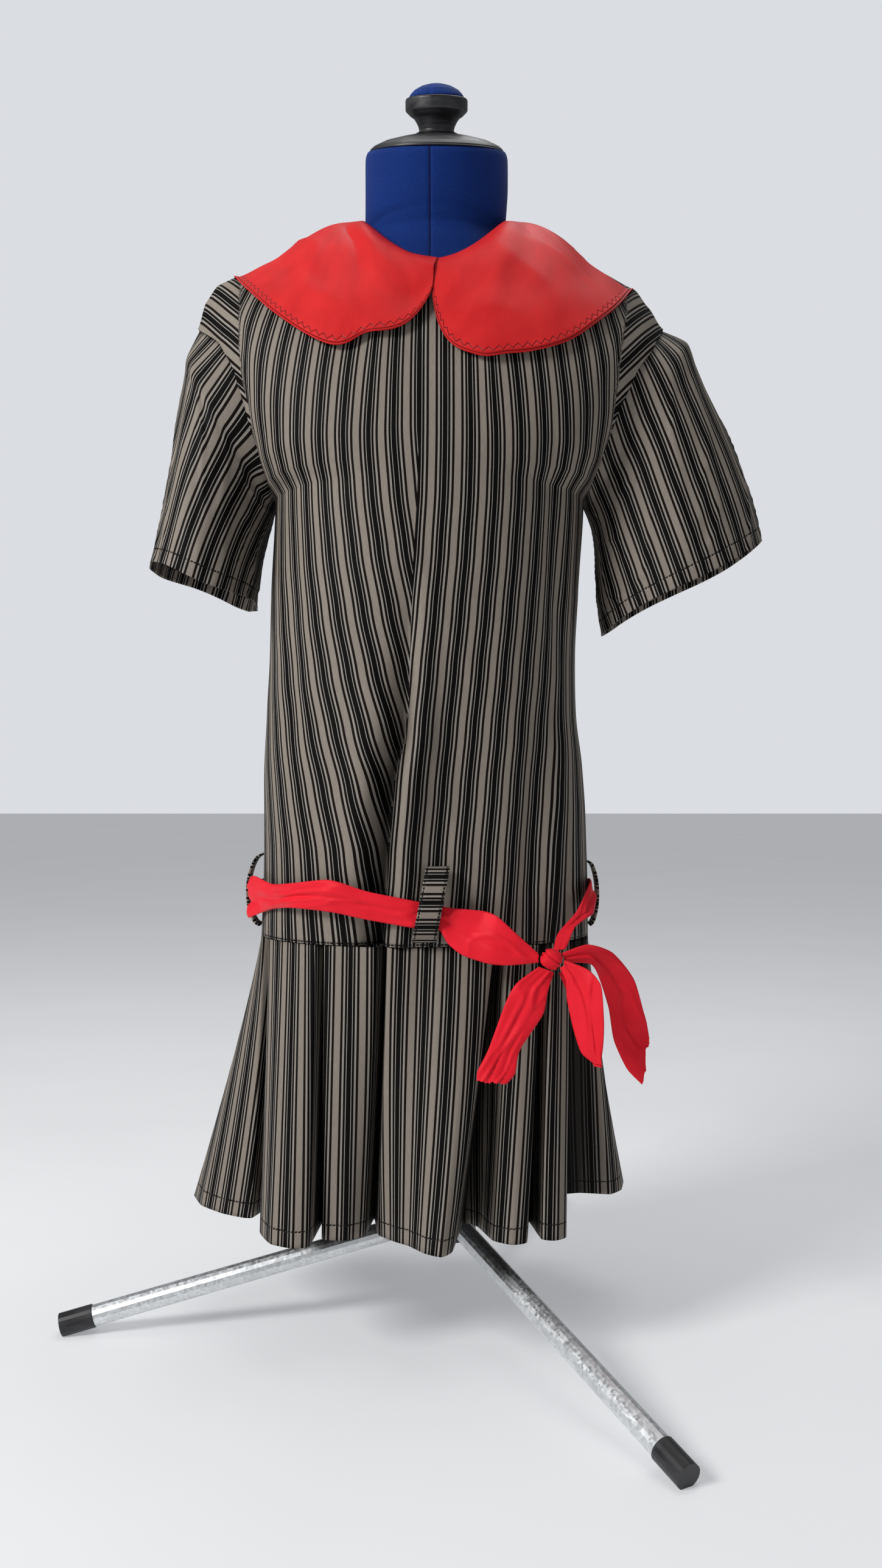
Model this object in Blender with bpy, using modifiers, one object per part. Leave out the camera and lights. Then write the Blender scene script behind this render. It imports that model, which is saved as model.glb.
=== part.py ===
"""Drop-waist dress on a limbless dress form with a three-legged stand.

Metres, +Z up. X runs to the viewer's right and Y away from the viewer, who faces the dress's front.
Every shape is worked out round the dress form's upright line (x = 0, y = 0) and the whole is then
moved, so that the origin is at the middle of the base of its bounding box.
"left" and "right" are the viewer's.
"""

import math

import bmesh
import bpy
from mathutils import Matrix, Vector

# Overall sizes
CLOTH = 0.0014
SEAM_GAP = 0.0004
SATIN = 0.0014

# Heights on the dress
HEM_Z = 0.106
DROP_SEAM_Z = 0.352
UNDERARM_Z = 0.748
TIP_Z = 0.910

# Neckline, seen from above an ellipse round the form's neck
NECK_X = -0.006
NECK_HALF_WIDTH = 0.0735
NECK_HALF_DEPTH = {"front": 0.074, "back": 0.062}
NECK_LOW_Z = {"front": 0.938, "back": 0.972}
NECK_SIDE_Z = 0.998

# How the bodice's cross-section closes towards its sides
SECTION_POWER = 2.6
SECTION_ROUND = 0.55

# How far a smooth curve's slope follows its neighbours: soft cloth, and pressed pleats
SOFT = 0.35
CRISP = 0.22

# The bodice below the underarms: side edges, and how far the cloth stands out at front and back
BODICE_COLUMNS = ("z", "left", "right", "front", "back")
BODICE_ROWS = (
    (0.352, -0.165, 0.135, 0.101, 0.100),
    (0.400, -0.163, 0.1345, 0.106, 0.104),
    (0.462, -0.1625, 0.1327, 0.107, 0.104),
    (0.502, -0.1625, 0.1300, 0.107, 0.103),
    (0.555, -0.1600, 0.1240, 0.107, 0.100),
    (0.608, -0.1572, 0.1232, 0.108, 0.097),
    (0.660, -0.1560, 0.1258, 0.111, 0.096),
    (0.748, -0.1520, 0.1310, 0.117, 0.098),
)

# The bodice from the underarms (rise 0) to the shoulder seams (rise 1). stand is the armhole edge's
# distance from the shoulder line before the shoulder rounds over.
YOKE_COLUMNS = ("rise", "left", "right", "stand", "front", "back")
YOKE_ROWS = (
    (0.00, -0.1520, 0.1310, 0.000, 0.117, 0.098),
    (0.06, -0.1545, 0.1345, 0.034, 0.119, 0.099),
    (0.16, -0.1588, 0.1410, 0.052, 0.121, 0.101),
    (0.38, -0.1690, 0.1530, 0.064, 0.120, 0.104),
    (0.62, -0.1800, 0.1700, 0.074, 0.112, 0.104),
    (0.82, -0.1960, 0.1900, 0.078, 0.102, 0.098),
    (1.00, -0.2240, 0.2040, 0.076, 0.094, 0.090),
)
SHOULDER_TURN = 3.0
SHOULDER_ROUND = 0.7
RIDGE_RISE = 0.93
NECK_FACING = 0.5
NECKLINE_SHARE = 0.95
PLACE_PASSES = 30

# Height of the shoulder seams, from armhole to armhole past the neckline
SHOULDER_COLUMNS = ("x", "z")
SHOULDER_ROWS = (
    (-0.224, TIP_Z),
    (-0.2165, 0.934),
    (-0.205, 0.950),
    (-0.190, 0.957),
    (-0.160, 0.968),
    (-0.1265, 0.984),
    (-0.077, NECK_SIDE_Z),
    (0.065, NECK_SIDE_Z),
    (0.100, 0.987),
    (0.150, 0.961),
    (0.178, 0.946),
    (0.190, 0.930),
    (0.204, TIP_Z),
)

# Long soft folds in the bodice: a line from (x0, z0) down to (x1, z1), how wide it is, and how far
# the cloth drops back (plus) or stands out (minus) along it
FOLD_COLUMNS = ("side", "x0", "z0", "x1", "z1", "width", "depth")
FOLD_GROWTH = 0.7
FOLD_TAIL = 0.25
FOLD_ROWS = (
    ("front", -0.020, 0.690, -0.046, 0.400, 0.0085, 0.0130),
    ("front", -0.002, 0.660, -0.026, 0.405, 0.0150, -0.0055),
    ("front", -0.060, 0.600, -0.074, 0.420, 0.0160, -0.0040),
    ("front", 0.088, 0.600, 0.074, 0.400, 0.0110, 0.0060),
    ("front", 0.112, 0.620, 0.100, 0.400, 0.0080, -0.0040),
    ("front", -0.131, 0.800, -0.128, 0.560, 0.0090, 0.0045),
    ("front", 0.092, 0.850, 0.100, 0.640, 0.0090, 0.0050),
    ("back", -0.050, 0.800, -0.062, 0.400, 0.0140, 0.0080),
    ("back", 0.045, 0.780, 0.058, 0.390, 0.0130, 0.0090),
    ("back", -0.004, 0.700, 0.000, 0.390, 0.0160, -0.0060),
    ("back", 0.105, 0.760, 0.100, 0.420, 0.0090, 0.0050),
    ("back", -0.125, 0.700, -0.128, 0.420, 0.0090, 0.0050),
)

# Collar: outer edge of each half, from the centre front to the shoulder and on to the centre back
COLLAR_COLUMNS = ("x", "z")
COLLAR_EDGES = {
    "collar_left": {
        "front": (
            (-0.0095, 0.905), (-0.0180, 0.887), (-0.0310, 0.8726), (-0.0510, 0.8665),
            (-0.0670, 0.8635), (-0.0790, 0.8560), (-0.0930, 0.8565), (-0.1116, 0.8675),
            (-0.1440, 0.8945), (-0.1730, 0.9270),
        ),
        "tip": -0.1900,
        "back": (
            (-0.1730, 0.9270), (-0.1440, 0.8990), (-0.1116, 0.8800), (-0.0750, 0.8700),
            (-0.0380, 0.8760), (-0.0150, 0.8950),
        ),
    },
    "collar_right": {
        "front": (
            (-0.0080, 0.905), (-0.0045, 0.8800), (0.0070, 0.8560), (0.0270, 0.8465),
            (0.0430, 0.8440), (0.0700, 0.8485), (0.1050, 0.8615), (0.1315, 0.8840),
            (0.1560, 0.9080),
        ),
        "tip": 0.1770,
        "back": (
            (0.1560, 0.9080), (0.1315, 0.8900), (0.1000, 0.8760), (0.0630, 0.8680),
            (0.0270, 0.8740), (0.0030, 0.8950),
        ),
    },
}
COLLAR_LIFT = 0.0070
COLLAR_ROLL = 0.0080
COLLAR_ROLL_START = 0.12
COLLAR_ROLL_SPAN = 1.4
COLLAR_FRONT_GAP = 0.0012

# Sleeve hems: rings that start at the outer point and go round by the front
SLEEVE_COLUMNS = ("x", "z", "half_width", "half_depth", "fall")
SLEEVE_ROWS = {
    "sleeve_left": (
        (-0.1937, 0.8110, 0.0387, 0.064, 0.0713),
        (-0.1980, 0.7905, 0.0380, 0.066, 0.0645),
        (-0.2050, 0.7500, 0.0395, 0.072, 0.0470),
        (-0.2118, 0.7065, 0.0428, 0.077, 0.0285),
        (-0.2188, 0.6715, 0.0468, 0.080, 0.0165),
    ),
    "sleeve_right": (
        (0.1800, 0.8185, 0.0458, 0.060, 0.0765),
        (0.1908, 0.7885, 0.0493, 0.062, 0.0685),
        (0.2030, 0.7520, 0.0590, 0.063, 0.0600),
        (0.2148, 0.7075, 0.0683, 0.064, 0.0475),
        (0.2227, 0.6705, 0.0717, 0.064, 0.0395),
    ),
}
SLEEVE_START = 0.0027
SLEEVE_START_WAY = (0.9, 0.0, 0.25)
ARMHOLE_MIDDLE_Z = 0.83
ARMHOLE_CROWD = 0.9

# Pleats of the skirt, round the drop seam from the left side seam by the front and round the back.
# inset is how far a point lies inside the seam's ring, and seam_x where it is on that ring.
PLEAT_COLUMNS = ("side", "seam_x", "inset", "hem_x", "hem_y")
SKIRT_FLARE = 1.15
INSET_TURN = 0.3
PLEATS_FRONT = (
    ("front", -0.1648, 0.000, -0.2300, 0.0100),
    ("front", -0.1645, 0.000, -0.2180, -0.0180),
    ("front", -0.1630, 0.000, -0.1950, -0.0400),
    ("front", -0.1603, 0.000, -0.1680, -0.0520),
    ("front", -0.1560, 0.024, -0.1500, 0.0000),
    ("front", -0.1530, 0.000, -0.1555, -0.0840),
    ("front", -0.1400, 0.000, -0.1420, -0.1160),
    ("front", -0.1230, 0.000, -0.1240, -0.1260),
    ("front", -0.1085, 0.000, -0.1100, -0.1220),
    ("front", -0.1035, 0.022, -0.1035, -0.0580),
    ("front", -0.0995, 0.000, -0.1000, -0.1040),
    ("front", -0.0760, 0.000, -0.0800, -0.1080),
    ("front", -0.0560, 0.000, -0.0650, -0.0940),
    ("front", -0.0490, 0.022, -0.0590, -0.0520),
    ("front", -0.0445, -0.001, -0.0530, -0.0940),
    ("front", -0.0270, -0.001, -0.0370, -0.1120),
    ("front", -0.0180, 0.001, -0.0270, -0.1200),
    ("front", 0.0000, -0.001, -0.0130, -0.1380),
    ("front", 0.0260, -0.001, 0.0000, -0.1460),
    ("front", 0.0440, 0.000, 0.0090, -0.1330),
    ("front", 0.0500, 0.026, 0.0190, -0.0660),
    ("front", 0.0560, 0.000, 0.0320, -0.0740),
    ("front", 0.0620, 0.000, 0.0440, -0.1080),
    ("front", 0.0740, 0.000, 0.0590, -0.1180),
    ("front", 0.0860, 0.000, 0.0715, -0.1120),
    ("front", 0.0905, 0.020, 0.0770, -0.0600),
    ("front", 0.0950, 0.000, 0.0850, -0.1040),
    ("front", 0.1040, 0.000, 0.0960, -0.1080),
    ("front", 0.1130, 0.000, 0.1060, -0.0980),
    ("front", 0.1190, 0.016, 0.0900, -0.0460),
    ("front", 0.1250, 0.014, 0.0980, 0.0060),
    ("front", 0.1300, 0.000, 0.1290, 0.0180),
    ("front", 0.1335, 0.000, 0.1580, 0.0140),
    ("front", 0.1348, 0.000, 0.1700, 0.0260),
)
PLEATS_BACK = (
    ("back", 0.1348, 0.000, 0.1703, 0.0268),
    ("back", 0.1320, 0.000, 0.1760, 0.0560),
    ("back", 0.1260, 0.000, 0.1640, 0.0960),
    ("back", 0.1180, 0.010, 0.1400, 0.0800),
    ("back", 0.1110, 0.000, 0.1380, 0.1160),
    ("back", 0.0900, 0.000, 0.1130, 0.1400),
    ("back", 0.0680, 0.000, 0.0830, 0.1480),
    ("back", 0.0620, 0.008, 0.0720, 0.0960),
    ("back", 0.0560, 0.000, 0.0640, 0.1440),
    ("back", 0.0260, 0.000, 0.0330, 0.1580),
    ("back", -0.0020, 0.000, -0.0020, 0.1520),
    ("back", -0.0080, 0.012, -0.0090, 0.0980),
    ("back", -0.0140, 0.000, -0.0150, 0.1460),
    ("back", -0.0440, 0.000, -0.0500, 0.1600),
    ("back", -0.0720, 0.000, -0.0820, 0.1500),
    ("back", -0.0780, 0.012, -0.0880, 0.0960),
    ("back", -0.0840, 0.000, -0.0960, 0.1420),
    ("back", -0.1110, 0.000, -0.1350, 0.1340),
    ("back", -0.1350, 0.000, -0.1660, 0.1160),
    ("back", -0.1420, 0.010, -0.1660, 0.0700),
    ("back", -0.1500, 0.000, -0.1830, 0.0900),
    ("back", -0.1620, 0.000, -0.2220, 0.0520),
    ("back", -0.1648, 0.000, -0.2300, 0.0106),
)

# Sash: each stretch is a band between its two edges
SASH_COLUMNS = ("x_a", "y_a", "z_a", "x_b", "y_b", "z_b")
SASH_ROWS = {
    "belt_front_left": (
        (-0.1656, -0.0003, 0.4020, -0.1664, -0.0003, 0.3720),
        (-0.1735, -0.0160, 0.4050, -0.1750, -0.0180, 0.3680),
        (-0.1665, -0.0330, 0.4070, -0.1600, -0.0360, 0.3750),
        (-0.1480, -0.060, 0.4020, -0.1450, -0.062, 0.3810),
        (-0.1270, -0.088, 0.4050, -0.1260, -0.088, 0.3840),
        (-0.0940, -0.106, 0.4090, -0.0920, -0.105, 0.3820),
        (-0.0620, -0.113, 0.4000, -0.0660, -0.110, 0.3770),
        (-0.0240, -0.1155, 0.3925, -0.0260, -0.1155, 0.3705),
        (-0.0105, -0.1155, 0.3895, -0.0125, -0.1155, 0.3695),
    ),
    "belt_front_right": (
        (-0.0098, -0.1155, 0.3890, -0.0118, -0.1155, 0.3690),
        (0.0010, -0.1160, 0.3875, -0.0010, -0.1160, 0.3680),
        (0.0120, -0.1170, 0.3860, 0.0060, -0.1180, 0.3570),
        (0.0360, -0.1190, 0.3840, 0.0180, -0.1230, 0.3480),
        (0.0470, -0.1260, 0.3800, 0.0390, -0.1300, 0.3420),
        (0.0625, -0.1290, 0.3660, 0.0560, -0.1320, 0.3410),
        (0.0799, -0.1290, 0.3500, 0.0789, -0.1300, 0.3430),
    ),
    "belt_side_right": (
        (0.0935, -0.1180, 0.3510, 0.1040, -0.1160, 0.3530),
        (0.0990, -0.1040, 0.3640, 0.1130, -0.1000, 0.3690),
        (0.1180, -0.0740, 0.3800, 0.1330, -0.0620, 0.3770),
        (0.1330, -0.0400, 0.4020, 0.1375, -0.0300, 0.3840),
        (0.1366, -0.0006, 0.4030, 0.1368, -0.0006, 0.3800),
    ),
    "bow_tail_left": (
        (0.0805, -0.1318, 0.3395, 0.0925, -0.1318, 0.3350),
        (0.0620, -0.1380, 0.3270, 0.0870, -0.1380, 0.3200),
        (0.0530, -0.1400, 0.3120, 0.0830, -0.1400, 0.3020),
        (0.0390, -0.1440, 0.2750, 0.0640, -0.1440, 0.2740),
        (0.0300, -0.1480, 0.2580, 0.0600, -0.1480, 0.2560),
        (0.0290, -0.1500, 0.2500, 0.0530, -0.1500, 0.2480),
    ),
    "bow_loop": (
        (0.0976, -0.1345, 0.3394, 0.1013, -0.1338, 0.3451),
        (0.1020, -0.1385, 0.3290, 0.1190, -0.1420, 0.3390),
        (0.1030, -0.1400, 0.3140, 0.1290, -0.1500, 0.3280),
        (0.1080, -0.1430, 0.2900, 0.1310, -0.1540, 0.3050),
        (0.1140, -0.1460, 0.2720, 0.1300, -0.1560, 0.2800),
        (0.1240, -0.1500, 0.2640, 0.1280, -0.1540, 0.2640),
    ),
    "bow_loop_back": (
        (0.1286, -0.1528, 0.2617, 0.1240, -0.1492, 0.2617),
        (0.1290, -0.1330, 0.2850, 0.1150, -0.1310, 0.2800),
        (0.1250, -0.1230, 0.3100, 0.1090, -0.1230, 0.3050),
        (0.1120, -0.1210, 0.3300, 0.1020, -0.1210, 0.3240),
        (0.1030, -0.1215, 0.3400, 0.0980, -0.1215, 0.3330),
    ),
    "bow_tail_right": (
        (0.0999, -0.1262, 0.3500, 0.1016, -0.1262, 0.3430),
        (0.1220, -0.1180, 0.3560, 0.1250, -0.1180, 0.3400),
        (0.1440, -0.1080, 0.3480, 0.1340, -0.1080, 0.3240),
        (0.1630, -0.1000, 0.3250, 0.1420, -0.1000, 0.3000),
        (0.1722, -0.0960, 0.2960, 0.1470, -0.0960, 0.2720),
        (0.1755, -0.0945, 0.2830, 0.1580, -0.0945, 0.2480),
        (0.1770, -0.0940, 0.2730, 0.1712, -0.0940, 0.2340),
    ),
}
BAND_BULGE = 0.0015
BACK_BELT = {"high": 0.4020, "low": 0.3740, "sag": 0.006, "stand": 0.0034}
KNOT = {"at": (0.0910, -0.1295, 0.3455), "radii": (0.0108, 0.0075, 0.0080), "lean": 20.0}

# Belt loops: straps that stand off the bodice where the sash passes
LOOP_WIDTH = 0.0200
LOOP_THICK = 0.0022
LOOP_STAND = 0.0021
LOOP_ARC = 0.5
LOOP_ROWS = {
    "loop_front": {
        "foot": (-0.0146, -0.1035, 0.3570),
        "head": (-0.0026, -0.1100, 0.4200),
        "out": 0.0165,
        "turn": 0.0,
    },
    "loop_left": {
        "foot": (-0.1648, 0.004, 0.3600),
        "head": (-0.1631, 0.004, 0.4250),
        "out": 0.0125,
        "turn": -90.0,
    },
    "loop_right": {
        "foot": (0.1350, 0.004, 0.3600),
        "head": (0.1345, 0.004, 0.4180),
        "out": 0.0078,
        "turn": 90.0,
    },
}
LOOP_STEPS = 12

# Dress form: level sections from its base to the top of the neck
FORM_COLUMNS = ("z", "x", "y", "half_width", "half_depth", "power")
FORM_ROWS = (
    (0.392, -0.010, -0.002, 0.060, 0.045, 2.2),
    (0.395, -0.010, -0.002, 0.092, 0.070, 2.2),
    (0.410, -0.010, -0.002, 0.106, 0.081, 2.2),
    (0.470, -0.010, -0.002, 0.114, 0.088, 2.2),
    (0.530, -0.010, -0.002, 0.112, 0.085, 2.2),
    (0.625, -0.008, -0.004, 0.094, 0.072, 2.2),
    (0.700, -0.008, -0.008, 0.112, 0.082, 2.2),
    (0.765, -0.007, -0.012, 0.130, 0.093, 2.3),
    (0.820, -0.006, -0.010, 0.136, 0.090, 2.5),
    (0.880, -0.006, -0.006, 0.150, 0.072, 2.8),
    (0.915, -0.006, -0.004, 0.162, 0.060, 2.8),
    (0.932, -0.006, -0.004, 0.162, 0.044, 2.3),
    (0.9486, -0.006, -0.003, 0.1622, 0.033, 2.1),
    (0.9608, -0.006, -0.002, 0.1510, 0.030, 2.0),
    (0.9728, -0.006, -0.002, 0.1275, 0.031, 2.0),
    (0.9820, -0.006, -0.002, 0.0940, 0.030, 2.0),
    (0.9900, -0.006, -0.003, 0.0720, 0.036, 2.0),
    (0.9960, -0.006, -0.005, 0.0650, 0.043, 2.0),
    (1.006, -0.005, -0.008, 0.0645, 0.051, 2.0),
    (1.030, -0.004, -0.013, 0.0650, 0.056, 2.0),
    (1.056, -0.004, -0.021, 0.0645, 0.058, 2.0),
    (1.062, -0.004, -0.023, 0.0625, 0.056, 2.0),
)
FORM_SIDES = 24

# The neck's root, which stands out of the shoulders before and behind below ROOT_TOP
ROOT_TOP = 1.004
ROOT_COLUMNS = ("z", "x", "half_width", "half_depth")
ROOT_ROWS = (
    (0.880, -0.006, 0.120, 0.062),
    (0.915, -0.006, 0.106, 0.060),
    (0.9486, -0.006, 0.090, 0.056),
    (0.9728, -0.006, 0.074, 0.052),
    (0.9900, -0.006, 0.064, 0.0500),
    (1.006, -0.005, 0.0600, 0.0508),
)

# The neck's top leans forward, and the cap and knob with it. Profiles are (radius, height) pairs.
NECK_TOP = (-0.004, -0.023, 1.0621)
NECK_LEAN = 20.0
NECK_LEAN_ROOT = 0.985
CAP_PROFILE = (
    (0.0, 0.0149), (0.0190, 0.0148), (0.0330, 0.0122), (0.0475, 0.0086), (0.0570, 0.0044),
    (0.0600, 0.0020), (0.0605, 0.0008), (0.0600, 0.0), (0.0, 0.0),
)
KNOB_PROFILE = (
    (0.0, 0.0436), (0.0262, 0.0436), (0.0275, 0.0429), (0.0279, 0.0418), (0.0279, 0.0345),
    (0.0274, 0.0331), (0.0236, 0.0297), (0.0206, 0.0278), (0.0185, 0.0250), (0.0166, 0.0215),
    (0.0157, 0.0183), (0.0166, 0.0165), (0.0190, 0.0154), (0.0, 0.0154),
)
DOME_PROFILE = (
    (0.0, 0.0558), (0.0070, 0.0553), (0.0140, 0.0534), (0.0200, 0.0502), (0.0232, 0.0470),
    (0.0244, 0.0441), (0.0, 0.0441),
)
TURNED_SIDES = 24
MERGE = 0.0001

# Stand: an upright tube, a hub and three legs
POLE_X = 0.006
POLE_RADIUS = 0.0125
POLE_TOP_Z = 0.3916
HUB_RADIUS = 0.026
HUB_BASE_Z = 0.074
HUB_TOP_Z = 0.112
LEG_RADIUS = 0.0092
LEG_TOP_Z = 0.0925
LEG_REACH = 0.0030
LEG_COLUMNS = ("name", "foot_x", "foot_y")
LEG_ROWS = (
    ("left", -0.338, -0.045),
    ("right", 0.172, -0.295),
    ("rear", 0.130, 0.307),
)
FOOT_RADIUS = 0.0102
FOOT_LENGTH = 0.0290
FOOT_Z = 0.0085
HUB_SIDES = 32
POLE_SIDES = 24
LEG_SIDES = 16
FOOT_SIDES = 20

# Grids: how finely each cloth is divided
BODICE_ACROSS = {"front": 30, "back": 22}
BODICE_DOWN = 7
YOKE_DOWN = 10
YOKE_CROWD = 1.8
SLEEVE_ROUND = 20
SLEEVE_DOWN = 7
SKIRT_STEPS = 3
SKIRT_DOWN = 6
BAND_STEPS = 2
BACK_BELT_STEPS = 22
KNOT_ROUND = 16
KNOT_RINGS = 10
COLLAR_ROUND = 36
COLLAR_OUT = 7

COLOURS = {
    "stripe": (0.130, 0.115, 0.095, 1.0),
    "collar": (0.640, 0.032, 0.030, 1.0),
    "sash": (0.740, 0.018, 0.024, 1.0),
    "form": (0.006, 0.016, 0.140, 1.0),
    "black": (0.010, 0.010, 0.012, 1.0),
    "steel": (0.460, 0.470, 0.480, 1.0),
}
FINISHES = {
    "stripe": (0.75, 0.0),
    "collar": (0.40, 0.0),
    "sash": (0.45, 0.0),
    "form": (0.85, 0.0),
    "black": (0.45, 0.0),
    "steel": (0.35, 1.0),
}


def named(columns, rows):
    """The rows of a table as dicts of their columns."""
    return [dict(zip(columns, row)) for row in rows]


def clear_scene():
    for thing in list(bpy.data.objects):
        bpy.data.objects.remove(thing, do_unlink=True)


def between(rows, columns, key, at):
    """The row of a table at a place between its rows, on a smooth curve, as a dict of columns."""
    index = columns.index(key)
    rising = rows if rows[-1][index] > rows[0][index] else rows[::-1]
    places = [row[index] for row in rising]
    at = min(max(at, places[0]), places[-1])
    low = max(i for i in range(len(places) - 1) if places[i] <= at)
    share = (at - places[low]) / (places[low + 1] - places[low])
    found = {}
    for column, name in enumerate(columns):
        if isinstance(rising[0][column], str):
            continue
        before = rising[max(low - 1, 0)][column]
        start = rising[low][column]
        end = rising[low + 1][column]
        after = rising[min(low + 2, len(rising) - 1)][column]
        found[name] = spline(before, start, end, after, share)
    return found


def spline(before, start, end, after, share, slack=SOFT):
    """A Catmull-Rom curve with eased slopes, from start at share 0 to end at share 1."""
    leave = slack * (end - before)
    arrive = slack * (after - start)
    square = share * share
    cube = square * share
    return (
        start * (2 * cube - 3 * square + 1)
        + leave * (cube - 2 * square + share)
        + end * (3 * square - 2 * cube)
        + arrive * (cube - square)
    )


def line_of(rows, steps, slack=SOFT):
    """Points evenly spaced by row along a smooth curve through rows of numbers."""
    found = []
    for step in range(steps + 1):
        place = step / steps * (len(rows) - 1)
        low = min(int(place), len(rows) - 2)
        before = rows[max(low - 1, 0)]
        after = rows[min(low + 2, len(rows) - 1)]
        found.append(
            [
                spline(*numbers, place - low, slack)
                for numbers in zip(before, rows[low], rows[low + 1], after)
            ]
        )
    return found


def fold_depth(side, x, z):
    """How far the folds drop the bodice's cloth back at a place."""
    depth = 0.0
    for fold in named(FOLD_COLUMNS, FOLD_ROWS):
        if fold["side"] != side:
            continue
        share = (fold["z0"] - z) / (fold["z0"] - fold["z1"])
        if not 0.0 < share < 1.0 + FOLD_TAIL:
            continue
        middle = fold["x0"] + (fold["x1"] - fold["x0"]) * share
        grows = math.sin(0.5 * math.pi * min(share / FOLD_GROWTH, 1.0)) ** 2
        fades = 1.0 - max(share - 1.0, 0.0) / FOLD_TAIL
        depth += fold["depth"] * grows * fades * math.exp(-(((x - middle) / fold["width"]) ** 2))
    return depth


def closing(u):
    return max(1.0 - abs(u) ** SECTION_POWER, 0.0) ** SECTION_ROUND


def neck_share(x):
    return (x - NECK_X) / NECK_HALF_WIDTH


def top_height(side, x):
    """Height of the bodice's top edge: the neckline, or the shoulder seam outside it."""
    share = neck_share(x)
    if abs(share) < 1.0:
        return NECK_LOW_Z[side] + (NECK_SIDE_Z - NECK_LOW_Z[side]) * share * share
    return between(SHOULDER_ROWS, SHOULDER_COLUMNS, "x", x)["z"]


def top_stand(side, x):
    """How far the bodice's top edge stands from the shoulder line."""
    share = neck_share(x)
    if abs(share) >= 1.0:
        return 0.0
    return NECK_HALF_DEPTH[side] * math.sqrt(1.0 - share * share)


def bodice_point(side, u, rise):
    """A point of the bodice's cloth. u is -1 at the left edge and 1 at the right one. rise is below
    zero under the underarm, as metres, and 0 to 1 from there to the top edge."""
    sign = -1.0 if side == "front" else 1.0
    if rise <= 0.0:
        row = between(BODICE_ROWS, BODICE_COLUMNS, "z", UNDERARM_Z + rise)
        x = 0.5 * (row["left"] + row["right"]) + 0.5 * u * (row["right"] - row["left"])
        z = UNDERARM_Z + rise
        y = row[side] * closing(u) - fold_depth(side, x, z)
        return Vector((x, sign * max(y, 0.0), z))
    row = between(YOKE_ROWS, YOKE_COLUMNS, "rise", rise)
    top = between(YOKE_ROWS, YOKE_COLUMNS, "rise", 1.0)
    x = 0.5 * (row["left"] + row["right"]) + 0.5 * u * (row["right"] - row["left"])
    top_x = 0.5 * (top["left"] + top["right"]) + 0.5 * u * (top["right"] - top["left"])
    z = UNDERARM_Z + rise * (top_height(side, top_x) - UNDERARM_Z)
    full = row["stand"] + (row[side] - row["stand"]) * closing(u)
    turned = max(1.0 - rise**SHOULDER_TURN, 0.0) ** SHOULDER_ROUND
    y = full * turned + top_stand(side, top_x) * (1.0 - turned)
    return Vector((x, sign * (y - fold_depth(side, x, z) * closing(u)), z))


def bodice_normal(side, u, rise):
    """Outward direction of the bodice's cloth at a point, which turns to face up along the shoulders."""
    level = min(rise, RIDGE_RISE)
    step_u = 0.02 if u < 0 else -0.02
    step_rise = 0.03
    step_x = 0.004
    here = bodice_point(side, u, level)
    across = bodice_point(side, u + step_u, level) - here
    down = bodice_point(side, u, level - step_rise) - here
    normal = across.cross(down).normalized()
    outward = Vector((here.x - NECK_X, here.y, 0.12))
    if normal.dot(outward) < 0:
        normal = -normal
    ridge = bodice_point(side, u, 1.0)
    slope = top_height(side, ridge.x + step_x) - top_height(side, ridge.x - step_x)
    upward = Vector((-slope, 0.0, 2 * step_x)).normalized()
    share = min(max((rise - RIDGE_RISE) / (1.0 - RIDGE_RISE), 0.0), 1.0)
    if abs(neck_share(ridge.x)) < NECKLINE_SHARE:
        share *= NECK_FACING
    return normal.lerp(upward, share).normalized()


def place_on_bodice(side, x, z):
    """u and rise of the bodice's point at a given x and z."""
    rise = 0.5
    u = 0.0
    top = dict(zip(YOKE_COLUMNS, YOKE_ROWS[-1]))
    for _ in range(PLACE_PASSES):
        row = between(YOKE_ROWS, YOKE_COLUMNS, "rise", rise)
        u = (2 * x - row["left"] - row["right"]) / (row["right"] - row["left"])
        top_x = 0.5 * (top["left"] + top["right"]) + 0.5 * u * (top["right"] - top["left"])
        rise += 0.5 * ((z - UNDERARM_Z) / (top_height(side, top_x) - UNDERARM_Z) - rise)
    return u, rise


def new_object(name, mesh, kind):
    thing = bpy.data.objects.new(name, mesh)
    material = bpy.data.materials.new(name)
    material.use_nodes = True
    shader = material.node_tree.nodes["Principled BSDF"]
    shader.inputs["Base Color"].default_value = COLOURS[kind]
    shader.inputs["Roughness"].default_value = FINISHES[kind][0]
    shader.inputs["Metallic"].default_value = FINISHES[kind][1]
    mesh.materials.append(material)
    PARTS.objects.link(thing)
    return thing


def grid_mesh(name, rows, closed_round=False):
    """A mesh of four-sided faces through rows of points."""
    mesh = bpy.data.meshes.new(name)
    bm = bmesh.new()
    verts = [[bm.verts.new(point) for point in row] for row in rows]
    wide = len(rows[0])
    for low, high in zip(verts, verts[1:]):
        for i in range(wide if closed_round else wide - 1):
            j = (i + 1) % wide
            bm.faces.new((low[i], low[j], high[j], high[i]))
    bm.to_mesh(mesh)
    bm.free()
    mesh.shade_smooth()
    return mesh


def cloth_wall(name, rows, kind, thickness, closed_round=False):
    thing = new_object(name, grid_mesh(name, rows, closed_round), kind)
    wall = thing.modifiers.new("wall", "SOLIDIFY")
    wall.thickness = thickness
    wall.offset = 0.0
    wall.use_even_offset = True
    wall.thickness_clamp = 1.0
    return thing


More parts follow.
